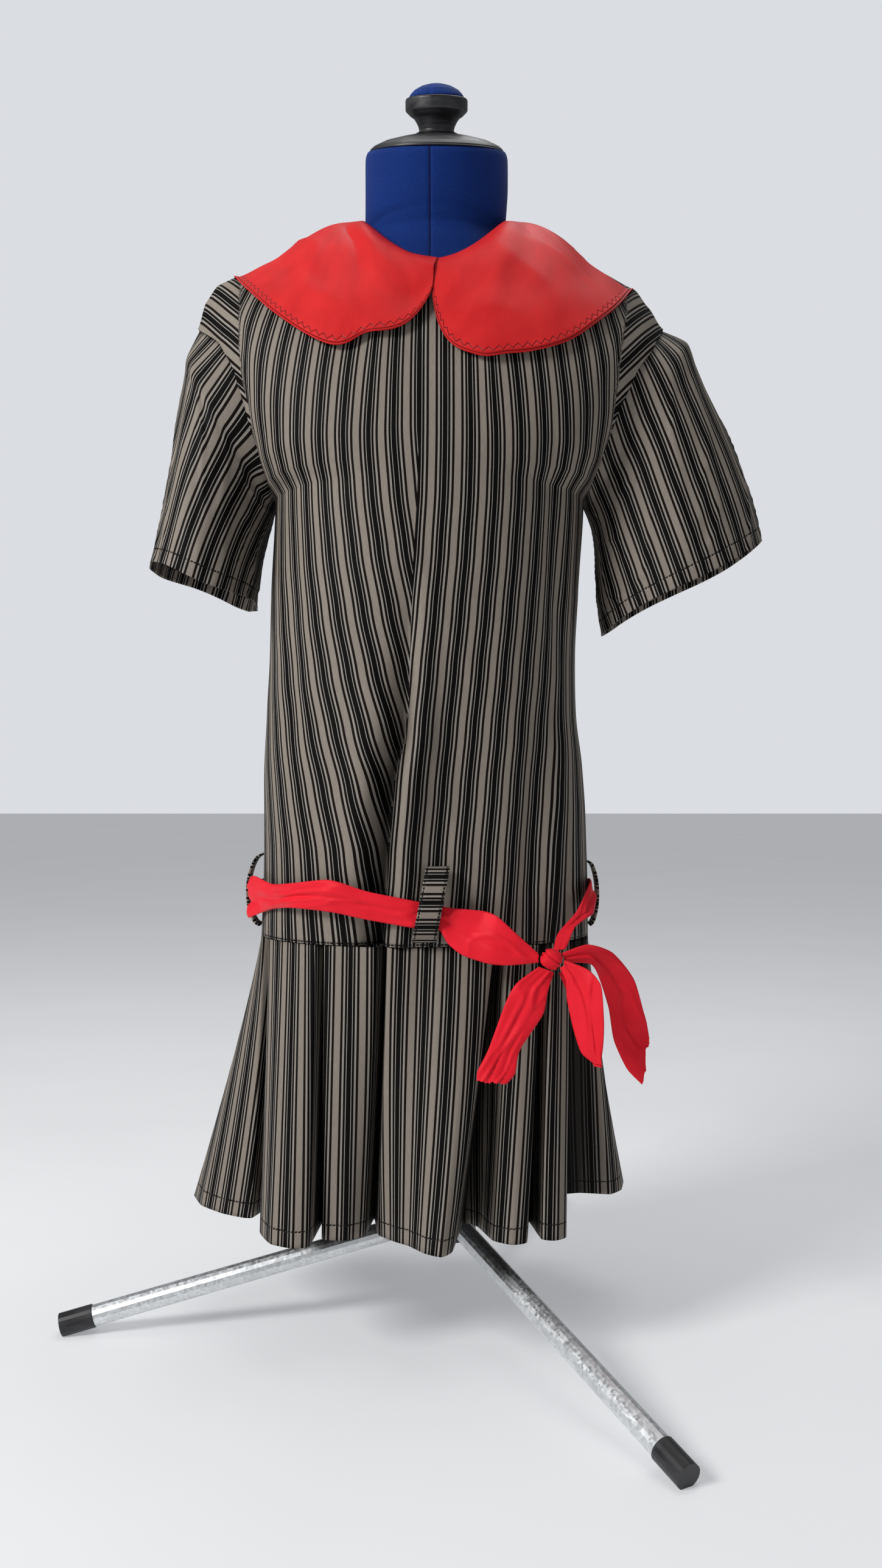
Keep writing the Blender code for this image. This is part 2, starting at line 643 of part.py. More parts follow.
def make_bodice(side):
    across = BODICE_ACROSS[side]
    sign = -1.0 if side == "front" else 1.0
    low = DROP_SEAM_Z + SEAM_GAP - UNDERARM_Z
    rises = [low * (1.0 - j / BODICE_DOWN) for j in range(BODICE_DOWN)]
    rises += [1.0 - (1.0 - j / YOKE_DOWN) ** YOKE_CROWD for j in range(YOKE_DOWN + 1)]
    rows = []
    for rise in rises:
        row = []
        for i in range(across + 1):
            u = math.sin(0.5 * math.pi * (2 * i / across - 1))
            point = bodice_point(side, u, rise)
            point.y += sign * SEAM_GAP
            row.append(point)
        rows.append(row if side == "front" else row[::-1])
    cloth_wall("bodice_" + side, rows, "stripe", CLOTH)


def top_u(x):
    """u of the top edge's point at x."""
    top = dict(zip(YOKE_COLUMNS, YOKE_ROWS[-1]))
    return (2 * x - top["left"] - top["right"]) / (top["right"] - top["left"])


def collar_edge(name, side):
    """The places on the bodice under one side of a collar half's outer edge, from its tip."""
    edges = COLLAR_EDGES[name]
    spots = [place_on_bodice(side, spot["x"], spot["z"]) for spot in named(COLLAR_COLUMNS, edges[side])]
    tip = (top_u(edges["tip"]), 1.0)
    return line_of([tip] + (spots if side == "back" else spots[::-1]), COLLAR_ROUND // 2)


def make_collar(name):
    hand = -1.0 if name == "collar_left" else 1.0
    half = COLLAR_ROUND // 2
    front = collar_edge(name, "front")[::-1]
    back = collar_edge(name, "back")
    rows = []
    for i in range(COLLAR_ROUND + 1):
        side = "front" if i <= half else "back"
        outer_u, outer_rise = front[i] if i <= half else back[i - half]
        turn = abs(i - half) / half
        reach = (NECK_HALF_WIDTH - COLLAR_FRONT_GAP) * math.cos(0.5 * math.pi * turn)
        inner_u = top_u(NECK_X + hand * (COLLAR_FRONT_GAP + reach))
        row = []
        for j in range(COLLAR_OUT + 1):
            out = j / COLLAR_OUT
            u = inner_u + (outer_u - inner_u) * out
            rise = min(1.0 + (outer_rise - 1.0) * out, 1.0)
            along_roll = min(out * COLLAR_ROLL_SPAN + COLLAR_ROLL_START, 1.0)
            rolled = math.sin(math.pi * along_roll) * math.sqrt(1.0 - turn)
            lift = COLLAR_LIFT + COLLAR_ROLL * rolled * (1.0 - out)
            row.append(bodice_point(side, u, rise) + bodice_normal(side, u, rise) * lift)
        rows.append(row)
    if hand < 0:
        rows = [row[::-1] for row in rows]
    cloth_wall(name, rows, "collar", SATIN)


def armhole_ring(name):
    """The sleeve's top ring, just outside the bodice's armhole edges, from the shoulder by the front."""
    u = -1.0 if name == "sleeve_left" else 1.0
    half = SLEEVE_ROUND // 2
    ring = []
    for i in range(SLEEVE_ROUND):
        side = "front" if i <= half else "back"
        turn = i / half if i <= half else 2.0 - i / half
        rise = (0.5 + 0.5 * math.cos(math.pi * turn)) ** ARMHOLE_CROWD
        point = bodice_point(side, u, rise)
        centre = Vector((point.x, 0.0, ARMHOLE_MIDDLE_Z))
        way = Vector(SLEEVE_START_WAY).normalized()
        point += Vector((u * way.x, 0.0, way.z)) * SLEEVE_START
        point += (point - centre).normalized() * SEAM_GAP
        ring.append(point)
    return ring


def sleeve_ring(name, row):
    """A ring of the sleeve, from its outer point by the front."""
    u = -1.0 if name == "sleeve_left" else 1.0
    ring = []
    for i in range(SLEEVE_ROUND):
        angle = 2 * math.pi * i / SLEEVE_ROUND
        x = row["x"] + u * row["half_width"] * math.cos(angle)
        y = -row["half_depth"] * math.sin(angle)
        z = row["z"] + row["fall"] * math.cos(angle)
        ring.append(Vector((x, y, z)))
    return ring


def make_sleeve(name):
    rows = [armhole_ring(name)]
    for row in named(SLEEVE_COLUMNS, line_of(SLEEVE_ROWS[name], SLEEVE_DOWN)):
        rows.append(sleeve_ring(name, row))
    if name == "sleeve_right":
        rows = [row[::-1] for row in rows]
    cloth_wall(name, rows, "stripe", CLOTH, True)


def seam_point(side, x, inset):
    row = between(BODICE_ROWS, BODICE_COLUMNS, "z", DROP_SEAM_Z)
    u = (2 * x - row["left"] - row["right"]) / (row["right"] - row["left"])
    sign = -1.0 if side == "front" else 1.0
    centre = 0.5 * (row["left"] + row["right"])
    point = Vector((x, sign * row[side] * closing(u), DROP_SEAM_Z - SEAM_GAP))
    inward = Vector((INSET_TURN * (centre - point.x), -point.y, 0.0)).normalized()
    return point + inward * inset


def make_skirt(name, rows_of_pleats):
    """The pleated skirt: straight lines from the drop seam to the hem, which spread as they fall."""
    sign = -1.0 if name == "skirt_front" else 1.0
    apart = Vector((0.0, sign * SEAM_GAP, 0.0))
    lines = []
    for pleat in named(PLEAT_COLUMNS, rows_of_pleats):
        top = seam_point(pleat["side"], pleat["seam_x"], pleat["inset"]) + apart
        lines.append((*top, pleat["hem_x"], pleat["hem_y"], HEM_Z))
    pairs = line_of(lines, SKIRT_STEPS * (len(lines) - 1), CRISP)
    rows = []
    for j in range(SKIRT_DOWN + 1):
        down = j / SKIRT_DOWN
        spread = down**SKIRT_FLARE
        row = []
        for pair in pairs:
            top = Vector(pair[:3])
            fall = Vector(pair[3:]) - top
            row.append(top + Vector((fall.x * spread, fall.y * spread, fall.z * down)))
        rows.append(row)
    cloth_wall(name, rows[::-1], "stripe", CLOTH)


def make_band(name, rows):
    """A sash stretch: a band between two edges, a little rounded across."""
    grid = []
    for edge in named(SASH_COLUMNS, line_of(rows, BAND_STEPS * len(rows))):
        a = Vector((edge["x_a"], edge["y_a"], edge["z_a"]))
        b = Vector((edge["x_b"], edge["y_b"], edge["z_b"]))
        outward = Vector((a.x + b.x, a.y + b.y, 0.0)).normalized()
        grid.append([a, (a + b) / 2 + outward * BAND_BULGE, b])
    cloth_wall(name, grid, "sash", SATIN)


def make_back_belt():
    """The sash's hidden stretch, round the back from the right side to the left one."""
    grid = []
    for i in range(BACK_BELT_STEPS + 1):
        u = math.cos(math.pi * i / BACK_BELT_STEPS)
        row = []
        for z in (BACK_BELT["low"], 0.5 * (BACK_BELT["low"] + BACK_BELT["high"]), BACK_BELT["high"]):
            point = bodice_point("back", u, z - BACK_BELT["sag"] * (1.0 - u * u) - UNDERARM_Z)
            normal = bodice_normal("back", u, z - UNDERARM_Z)
            outward = Vector((normal.x, max(normal.y, 0.0), 0.0)).normalized()
            point += outward * BACK_BELT["stand"]
            row.append(point + Vector((0.0, SEAM_GAP, 0.0)))
        grid.append(row)
    cloth_wall("belt_back", grid[::-1], "sash", SATIN)


def make_knot():
    bpy.ops.mesh.primitive_uv_sphere_add(segments=KNOT_ROUND, ring_count=KNOT_RINGS, radius=1.0)
    made = bpy.context.object
    mesh = made.data
    bpy.data.objects.remove(made, do_unlink=True)
    mesh.transform(Matrix.Diagonal((*KNOT["radii"], 1.0)))
    mesh.transform(Matrix.Rotation(math.radians(KNOT["lean"]), 4, "Y"))
    mesh.transform(Matrix.Translation(KNOT["at"]))
    mesh.name = "belt_knot"
    mesh.shade_smooth()
    new_object("belt_knot", mesh, "sash")


def make_loop(name):
    """A strap that leaves the cloth, passes over the sash and comes back."""
    loop = LOOP_ROWS[name]
    foot = Vector(loop["foot"])
    head = Vector(loop["head"])
    turn = Matrix.Rotation(math.radians(loop["turn"]), 3, "Z")
    out = turn @ Vector((0.0, -1.0, 0.0))
    half = turn @ Vector((LOOP_WIDTH / 2, 0.0, 0.0))
    grid = []
    for i in range(LOOP_STEPS + 1):
        share = i / LOOP_STEPS
        stand = loop["out"] * max(math.sin(math.pi * share), 0.0) ** LOOP_ARC
        middle = foot.lerp(head, share) + out * (stand + LOOP_STAND)
        grid.append([middle - half, middle, middle + half])
    cloth_wall(name, grid, "stripe", LOOP_THICK)


def form_ring(section):
    """A level ring of the form, with the neck's root standing out of it before and behind."""
    root = between(ROOT_ROWS, ROOT_COLUMNS, "z", section["z"])
    ring = []
    for i in range(FORM_SIDES):
        angle = 2 * math.pi * i / FORM_SIDES
        power = 2.0 / section["power"]
        across = math.copysign(abs(math.cos(angle)) ** power, math.cos(angle))
        deep = section["half_depth"] * math.copysign(abs(math.sin(angle)) ** power, math.sin(angle))
        x = section["x"] + section["half_width"] * across
        share = (x - root["x"]) / root["half_width"]
        if section["z"] < ROOT_TOP and abs(share) < 1.0:
            reach = root["half_depth"] * math.sqrt(1.0 - share * share)
            deep = math.copysign(max(abs(deep), reach), deep)
        z = section["z"] + neck_tilt(section["z"], deep)
        ring.append(Vector((x, section["y"] + deep, z)))
    return ring


def make_form():
    """The form's torso and neck, closed at the base and the neck's top."""
    rows = [form_ring(section) for section in named(FORM_COLUMNS, FORM_ROWS)]
    mesh = grid_mesh("form_torso", rows, True)
    bm = bmesh.new()
    bm.from_mesh(mesh)
    bmesh.ops.holes_fill(bm, edges=[edge for edge in bm.edges if edge.is_boundary], sides=0)
    bmesh.ops.recalc_face_normals(bm, faces=bm.faces)
    bm.to_mesh(mesh)
    bm.free()
    new_object("form_torso", mesh, "form")


def neck_tilt(z, y):
    """How far the neck's rings rise behind and dip in front, from its root to its top."""
    share = min(max((z - NECK_LEAN_ROOT) / (NECK_TOP[2] - NECK_LEAN_ROOT), 0.0), 1.0)
    return y * math.tan(math.radians(NECK_LEAN)) * share


def make_turned(name, profile, kind):
    """A turned piece on the neck's leaning axis."""
    mesh = bpy.data.meshes.new(name)
    edges = [(i, i + 1) for i in range(len(profile) - 1)]
    mesh.from_pydata([(radius, 0.0, height) for radius, height in profile], edges, [])
    thing = new_object(name, mesh, kind)
    turn = thing.modifiers.new("turn", "SCREW")
    turn.axis = "Z"
    turn.steps = TURNED_SIDES
    turn.render_steps = TURNED_SIDES
    turn.use_merge_vertices = True
    turn.merge_threshold = MERGE
    lean = Matrix.Rotation(math.radians(NECK_LEAN), 4, "X")
    thing.matrix_world = Matrix.Translation(NECK_TOP) @ lean @ Matrix.Translation((0, 0, SEAM_GAP))


def add_cylinder(name, kind, radius, low, high, sides):
    """A cylinder along the line between two points."""
    low = Vector(low)
    high = Vector(high)
    bpy.ops.mesh.primitive_cylinder_add(vertices=sides, radius=radius, depth=(high - low).length)
    made = bpy.context.object
    mesh = made.data
    bpy.data.objects.remove(made, do_unlink=True)
    mesh.name = name
    mesh.shade_smooth()
    mesh.set_sharp_from_angle(angle=math.radians(40))
    thing = new_object(name, mesh, kind)
    turn = (high - low).to_track_quat("Z", "Y").to_matrix().to_4x4()
    thing.matrix_world = Matrix.Translation((low + high) / 2) @ turn
    return thing


def make_stand():
    pole_low = (POLE_X, 0, HUB_TOP_Z + SEAM_GAP)
    add_cylinder("stand_pole", "steel", POLE_RADIUS, pole_low, (POLE_X, 0, POLE_TOP_Z), POLE_SIDES)
    hub_low = (POLE_X, 0, HUB_BASE_Z)
    add_cylinder("stand_hub", "black", HUB_RADIUS, hub_low, (POLE_X, 0, HUB_TOP_Z), HUB_SIDES)
    for leg in named(LEG_COLUMNS, LEG_ROWS):
        make_leg(leg["name"], Vector((leg["foot_x"], leg["foot_y"], FOOT_Z)))


def make_leg(name, foot):
    top = Vector((POLE_X, 0.0, LEG_TOP_Z))
    along = (foot - top).normalized()
    start = top + along * (HUB_RADIUS + LEG_REACH) / math.hypot(along.x, along.y)
    cap_start = foot - along * FOOT_LENGTH
    leg_end = cap_start - along * SEAM_GAP
    add_cylinder("leg_" + name, "steel", LEG_RADIUS, start, leg_end, LEG_SIDES)
    cap = add_cylinder("foot_" + name, "black", FOOT_RADIUS, cap_start, foot, FOOT_SIDES)
    flatten_under(cap, foot - along * FOOT_LENGTH / 2, along)


def flatten_under(cap, middle, along):
    """Shaves a foot cap's underside flat, level with the floor."""
    size = 2 * FOOT_LENGTH
    bpy.ops.mesh.primitive_cube_add(size=1.0)
    made = bpy.context.object
    mesh = made.data
    bpy.data.objects.remove(made, do_unlink=True)
    cutter = bpy.data.objects.new(cap.name + "_cut", mesh)
    scale = Matrix.Diagonal((size * 2, size * 2, size, 1.0))
    cutter.matrix_world = Matrix.Translation((middle.x, middle.y, -size / 2)) @ scale
    cutter.hide_render = True
    cutter.display_type = "WIRE"
    CUTTERS.objects.link(cutter)
    cut = cap.modifiers.new("flat", "BOOLEAN")
    cut.operation = "DIFFERENCE"
    cut.object = cutter


def move_to_origin():
    """Moves all by one offset, so that the origin is the middle of the base of the bounding box."""
    bpy.context.view_layer.update()
    graph = bpy.context.evaluated_depsgraph_get()
    points = []
    for thing in PARTS.objects:
        shape = thing.evaluated_get(graph)
        points += [shape.matrix_world @ vert.co for vert in shape.to_mesh().vertices]
        shape.to_mesh_clear()
    low = Vector([min(p[i] for p in points) for i in range(3)])
    high = Vector([max(p[i] for p in points) for i in range(3)])
    shift = Matrix.Translation((-(low.x + high.x) / 2, -(low.y + high.y) / 2, -low.z))
    for thing in list(PARTS.objects) + list(CUTTERS.objects):
        thing.matrix_world = shift @ thing.matrix_world


def main():
    make_bodice("front")
    make_bodice("back")
    for name in COLLAR_EDGES:
        make_collar(name)
    for name in SLEEVE_ROWS:
        make_sleeve(name)
    make_skirt("skirt_front", PLEATS_FRONT)
    make_skirt("skirt_back", PLEATS_BACK)
    for name, rows in SASH_ROWS.items():
        make_band(name, rows)
    make_back_belt()
    make_knot()
    for name in LOOP_ROWS:
        make_loop(name)
    make_form()
    make_turned("neck_cap", CAP_PROFILE, "black")
    make_turned("knob", KNOB_PROFILE, "black")
    make_turned("knob_dome", DOME_PROFILE, "form")
    make_stand()
    move_to_origin()


clear_scene()
PARTS = bpy.data.collections.new("drop_waist_dress")
CUTTERS = bpy.data.collections.new("cutters")
bpy.context.scene.collection.children.link(PARTS)
bpy.context.scene.collection.children.link(CUTTERS)
main()
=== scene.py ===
"""Drop-waist dress on a limbless dress form: the finer cloth, the materials, the light and the camera.

Metres, +Z up. "left" and "right" are the viewer's. The tables give places round the dress form's upright
line, as the model's source does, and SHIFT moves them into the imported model's frame.
"""

import math

import bmesh
import bpy
from mathutils import Matrix, Vector, noise


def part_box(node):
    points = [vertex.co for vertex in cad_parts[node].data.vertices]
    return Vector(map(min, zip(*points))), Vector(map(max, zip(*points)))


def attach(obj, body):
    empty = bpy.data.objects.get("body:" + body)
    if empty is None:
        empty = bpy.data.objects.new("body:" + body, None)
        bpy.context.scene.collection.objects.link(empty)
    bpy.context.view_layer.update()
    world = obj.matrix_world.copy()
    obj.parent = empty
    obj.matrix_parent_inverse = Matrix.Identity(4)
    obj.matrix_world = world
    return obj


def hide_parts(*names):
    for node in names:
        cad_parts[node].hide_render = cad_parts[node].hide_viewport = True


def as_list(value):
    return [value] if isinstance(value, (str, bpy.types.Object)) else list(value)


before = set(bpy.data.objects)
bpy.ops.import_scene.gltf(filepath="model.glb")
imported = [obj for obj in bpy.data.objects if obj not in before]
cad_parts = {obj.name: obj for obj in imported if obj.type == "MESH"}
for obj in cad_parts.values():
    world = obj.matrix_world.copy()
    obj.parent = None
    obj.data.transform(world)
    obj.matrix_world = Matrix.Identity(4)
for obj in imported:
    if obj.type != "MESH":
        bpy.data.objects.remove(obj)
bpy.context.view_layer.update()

POLE_X = 0.006
POLE_LOW, POLE_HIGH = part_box("stand_pole")
SHIFT = Vector(((POLE_LOW[0] + POLE_HIGH[0]) / 2 - POLE_X, (POLE_LOW[1] + POLE_HIGH[1]) / 2, 0.0))

# Camera
CAMERA_DISTANCE = 1.183
CAMERA_HEIGHT = 0.49
CAMERA_LENS = 29.35

# Light: the sky lights the dress less than it shows behind it
DAYLIGHT = (0.80, 0.82, 0.86, 1.0)
FLOOR_GLOW = 0.36
SKY_ON_DRESS = 0.24
SKY_SEEN = 0.88
LIGHT_AIM = (0.0, 0.0, 0.6)
LIGHT_COLUMNS = ("name", "spot", "size", "power")
LIGHTS = (
    ("key", (-1.9, -1.5, 1.9), 0.8, 66.0),
    ("fill", (2.0, -1.6, 1.5), 2.0, 2.5),
    ("top", (0.3, 0.3, 2.8), 1.6, 22.0),
)

# The cloth
WALL = 0.0009
COLLAR_WALL = 0.0011
SEAM_GAP = 0.0004
PERIOD = 0.0217
STRIPE_START = 0.0035
HEM_STITCH = 0.0125

# Heights on the dress
HEM_Z = 0.106
DROP_SEAM_Z = 0.352
UNDERARM_Z = 0.748
TIP_Z = 0.910

# Neckline, seen from above an ellipse round the form's neck
NECK_X = -0.006
NECK_HALF_WIDTH = 0.0735
NECK_HALF_DEPTH = {"front": 0.074, "back": 0.062}
NECK_LOW_Z = {"front": 0.938, "back": 0.972}
NECK_SIDE_Z = 0.998

SECTION_POWER = 2.6
SECTION_ROUND = 0.55

# How far a smooth curve leans on its neighbours: soft for cloth, crisp for turned pieces
SOFT = 0.35
CRISP = 0.12
PLACE_PASSES = 30

BODICE_COLUMNS = ("z", "left", "right", "front", "back")
BODICE_ROWS = (
    (0.352, -0.165, 0.135, 0.101, 0.100),
    (0.400, -0.163, 0.1345, 0.106, 0.104),
    (0.462, -0.1625, 0.1327, 0.107, 0.104),
    (0.502, -0.1625, 0.1300, 0.107, 0.103),
    (0.555, -0.1600, 0.1240, 0.107, 0.100),
    (0.608, -0.1572, 0.1232, 0.108, 0.097),
    (0.660, -0.1560, 0.1258, 0.111, 0.096),
    (0.748, -0.1520, 0.1310, 0.117, 0.098),
)
YOKE_COLUMNS = ("rise", "left", "right", "stand", "front", "back")
YOKE_ROWS = (
    (0.00, -0.1520, 0.1310, 0.000, 0.117, 0.098),
    (0.06, -0.1545, 0.1345, 0.034, 0.119, 0.099),
    (0.16, -0.1588, 0.1410, 0.052, 0.121, 0.101),
    (0.38, -0.1690, 0.1530, 0.064, 0.120, 0.104),
    (0.62, -0.1800, 0.1700, 0.074, 0.112, 0.104),
    (0.82, -0.1960, 0.1900, 0.078, 0.102, 0.098),
    (1.00, -0.2240, 0.2040, 0.076, 0.094, 0.090),
)
YOKE_TOP = dict(zip(YOKE_COLUMNS, YOKE_ROWS[-1]))
SHOULDER_TURN = 3.0
SHOULDER_ROUND = 0.7
YOKE_CROWD = 1.8
RIDGE_RISE = 0.93
# Near the neck the cloth's outward direction turns up only part of the way
NECKLINE_SHARE = 0.95
NECK_FACING = 0.5
SHOULDER_COLUMNS = ("x", "z")
SHOULDER_ROWS = (
    (-0.224, TIP_Z),
    (-0.2165, 0.934),
    (-0.205, 0.950),
    (-0.190, 0.957),
    (-0.160, 0.968),
    (-0.1265, 0.984),
    (-0.077, NECK_SIDE_Z),
    (0.065, NECK_SIDE_Z),
    (0.100, 0.987),
    (0.150, 0.961),
    (0.178, 0.946),
    (0.190, 0.930),
    (0.204, TIP_Z),
)

# Soft folds and creases in the bodice: a line from (x0, z0) to (x1, z1), its width, and how far the
# cloth drops back (plus) or stands out (minus)
FOLD_COLUMNS = ("side", "x0", "z0", "x1", "z1", "width", "depth")
FOLD_GROWTH = 0.7
FOLD_TAIL = 0.25
FOLD_ROWS = (
    ("front", -0.002, 0.660, -0.026, 0.405, 0.0150, -0.0055),
    ("front", -0.060, 0.600, -0.074, 0.420, 0.0160, -0.0040),
    ("front", 0.088, 0.600, 0.074, 0.400, 0.0110, 0.0060),
    ("front", 0.112, 0.620, 0.100, 0.400, 0.0080, -0.0040),
    ("front", -0.131, 0.800, -0.128, 0.560, 0.0090, 0.0045),
    ("front", 0.092, 0.850, 0.100, 0.640, 0.0090, 0.0050),
    ("back", -0.050, 0.800, -0.062, 0.400, 0.0140, 0.0080),
    ("back", 0.045, 0.780, 0.058, 0.390, 0.0130, 0.0090),
    ("back", -0.004, 0.700, 0.000, 0.390, 0.0160, -0.0060),
    ("back", 0.105, 0.760, 0.100, 0.420, 0.0090, 0.0050),
    ("back", -0.125, 0.700, -0.128, 0.420, 0.0090, 0.0050),
)

# The lapped fold left of the middle: where its edge runs, as (z, x)
LAP_COLUMNS = ("z", "x")
LAP_LINE = (
    (0.340, -0.0500),
    (0.410, -0.0462),
    (0.458, -0.0430),
    (0.497, -0.0385),
    (0.535, -0.0290),
    (0.607, -0.0255),
    (0.700, -0.0215),
    (1.010, -0.0100),
)
LAP_TOP = 0.690
LAP_DEPTH = 0.0200
LAP_GROWTH = 0.17
LAP_WIDTH = 0.016
LAP_ROLL = 0.0085
LAP_ROLL_AWAY = 0.013
LAP_ROLL_WIDTH = 0.010
LAP_PUFF_Z = 0.487
LAP_PUFF_SPAN = 0.045
# The share of the left half's sideways move that its outer edge keeps
LEFT_DRIFT = 0.55
LEFT_EDGE_X = -0.166
RIGHT_DRIFT_X = 0.140

# How far the stripes have moved sideways on each half of the front, by height
TAKE_COLUMNS = ("z", "left", "right")
TAKE_ROWS = (
    (0.340, 0.076, 0.034),
    (0.433, 0.066, 0.028),
    (0.484, 0.055, 0.0235),
    (0.535, 0.043, 0.0185),
    (0.585, 0.031, 0.0135),
    (0.636, 0.0200, 0.0085),
    (0.687, 0.0105, 0.0040),
    (0.736, 0.0040, 0.0010),
    (0.788, 0.0, 0.0),
    (1.010, 0.0, 0.0),
)

# Where the shoulders' outer cloth folds back, as (z, x)
SHOULDER_LINES = {
    "left": (
        (0.748, -0.1600), (0.808, -0.1650), (0.850, -0.1735),
        (0.871, -0.1755), (0.924, -0.1790), (1.010, -0.185),
    ),
    "right": ((0.748, 0.1420), (0.829, 0.1511), (0.856, 0.1548), (0.911, 0.1642), (1.010, 0.176)),
}

COLLAR_EDGES = {
    "collar_left": {
        "front": (
            (-0.0095, 0.905), (-0.0180, 0.887), (-0.0310, 0.8726), (-0.0510, 0.8665),
            (-0.0670, 0.8635), (-0.0790, 0.8560), (-0.0930, 0.8565), (-0.1116, 0.8675),
            (-0.1440, 0.8945), (-0.1730, 0.9270),
        ),
        "tip": -0.1900,
        "back": (
            (-0.1730, 0.9270), (-0.1440, 0.8990), (-0.1116, 0.8800), (-0.0750, 0.8700),
            (-0.0380, 0.8760), (-0.0150, 0.8950),
        ),
    },
    "collar_right": {
        "front": (
            (-0.0080, 0.905), (-0.0045, 0.8800), (0.0070, 0.8560), (0.0270, 0.8465),
            (0.0430, 0.8440), (0.0700, 0.8485), (0.1050, 0.8615), (0.1315, 0.8840),
            (0.1560, 0.9080),
        ),
        "tip": 0.1770,
        "back": (
            (0.1560, 0.9080), (0.1315, 0.8900), (0.1000, 0.8760), (0.0630, 0.8680),
            (0.0270, 0.8740), (0.0030, 0.8950),
        ),
    },
}
COLLAR_OVERLAP = 0.0042
COLLAR_LIFT = 0.0070
COLLAR_ROLL = 0.0080
COLLAR_ROLL_START = 0.12
COLLAR_ROLL_SPAN = 1.4
COLLAR_FRONT_GAP = 0.0012
COLLAR_LAP_ROWS = 14.0
COLLAR_PASSES = (26, 14)

SLEEVE_COLUMNS = ("x", "z", "half_width", "half_depth", "fall")
SLEEVE_ROWS = {
    "sleeve_left": (
        (-0.1937, 0.8110, 0.0387, 0.064, 0.0713),
        (-0.1980, 0.7905, 0.0380, 0.066, 0.0645),
        (-0.2050, 0.7500, 0.0395, 0.072, 0.0470),
        (-0.2118, 0.7065, 0.0428, 0.077, 0.0285),
        (-0.2188, 0.6715, 0.0468, 0.080, 0.0165),
    ),
    "sleeve_right": (
        (0.1800, 0.8185, 0.0458, 0.060, 0.0765),
        (0.1908, 0.7885, 0.0493, 0.062, 0.0685),
        (0.2030, 0.7520, 0.0590, 0.063, 0.0600),
        (0.2148, 0.7075, 0.0683, 0.064, 0.0475),
        (0.2227, 0.6705, 0.0717, 0.064, 0.0395),
    ),
}
SLEEVE_TUCK = -0.0016
SLEEVE_START = 0.0012
SLEEVE_RINGS = 7
SLEEVE_STEPS = 60
ARMHOLE_CROWD = 0.9
ARMHOLE_MIDDLE_Z = 0.83

# Pleats round the drop seam: place on the seam, how far inside it, and place at the hem
PLEAT_COLUMNS = ("seam_x", "inset", "hem_x", "hem_y")
PLEATS = {
    "front": (
        (-0.1648, 0.000, -0.2300, 0.0100),
        (-0.1645, 0.000, -0.2180, -0.0180),
        (-0.1630, 0.000, -0.1950, -0.0400),
        (-0.1603, 0.000, -0.1680, -0.0520),
        (-0.1560, 0.024, -0.1500, 0.0000),
        (-0.1530, 0.000, -0.1555, -0.0840),
        (-0.1400, 0.000, -0.1420, -0.1160),
        (-0.1230, 0.000, -0.1240, -0.1260),
        (-0.1085, 0.000, -0.1100, -0.1220),
        (-0.1035, 0.022, -0.1035, -0.0580),
        (-0.0995, 0.000, -0.1000, -0.1040),
        (-0.0760, 0.000, -0.0800, -0.1080),
        (-0.0560, 0.000, -0.0650, -0.0940),
        (-0.0490, 0.022, -0.0590, -0.0520),
        (-0.0445, -0.001, -0.0530, -0.0940),
        (-0.0270, -0.001, -0.0370, -0.1120),
        (-0.0180, 0.001, -0.0270, -0.1200),
        (0.0000, -0.001, -0.0130, -0.1380),
        (0.0260, -0.001, 0.0000, -0.1460),
        (0.0440, 0.000, 0.0090, -0.1330),
        (0.0500, 0.026, 0.0190, -0.0660),
        (0.0560, 0.000, 0.0320, -0.0740),
        (0.0620, 0.000, 0.0440, -0.1080),
        (0.0740, 0.000, 0.0590, -0.1180),
        (0.0860, 0.000, 0.0715, -0.1120),
        (0.0905, 0.020, 0.0770, -0.0600),
        (0.0950, 0.000, 0.0850, -0.1040),
        (0.1040, 0.000, 0.0960, -0.1080),
        (0.1130, 0.000, 0.1060, -0.0980),
        (0.1190, 0.016, 0.0900, -0.0460),
        (0.1250, 0.014, 0.0980, 0.0060),
        (0.1300, 0.000, 0.1290, 0.0180),
        (0.1335, 0.000, 0.1580, 0.0140),
        (0.1348, 0.000, 0.1700, 0.0260),
    ),
    "back": (
        (0.1348, 0.000, 0.1703, 0.0268),
        (0.1320, 0.000, 0.1760, 0.0560),
        (0.1260, 0.000, 0.1640, 0.0960),
        (0.1180, 0.010, 0.1400, 0.0800),
        (0.1110, 0.000, 0.1380, 0.1160),
        (0.0900, 0.000, 0.1130, 0.1400),
        (0.0680, 0.000, 0.0830, 0.1480),
        (0.0620, 0.008, 0.0720, 0.0960),
        (0.0560, 0.000, 0.0640, 0.1440),
        (0.0260, 0.000, 0.0330, 0.1580),
        (-0.0020, 0.000, -0.0020, 0.1520),
        (-0.0080, 0.012, -0.0090, 0.0980),
        (-0.0140, 0.000, -0.0150, 0.1460),
        (-0.0440, 0.000, -0.0500, 0.1600),
        (-0.0720, 0.000, -0.0820, 0.1500),
        (-0.0780, 0.012, -0.0880, 0.0960),
        (-0.0840, 0.000, -0.0960, 0.1420),
        (-0.1110, 0.000, -0.1350, 0.1340),
        (-0.1350, 0.000, -0.1660, 0.1160),
        (-0.1420, 0.010, -0.1660, 0.0700),
        (-0.1500, 0.000, -0.1830, 0.0900),
        (-0.1620, 0.000, -0.2220, 0.0520),
        (-0.1648, 0.000, -0.2300, 0.0106),
    ),
}
SKIRT_FLARE = 1.15
PLEAT_SLACK = 0.22
INSET_TURN = 0.3
GROOVE_INSET = 0.004
OPENING_EDGE = 0.1300

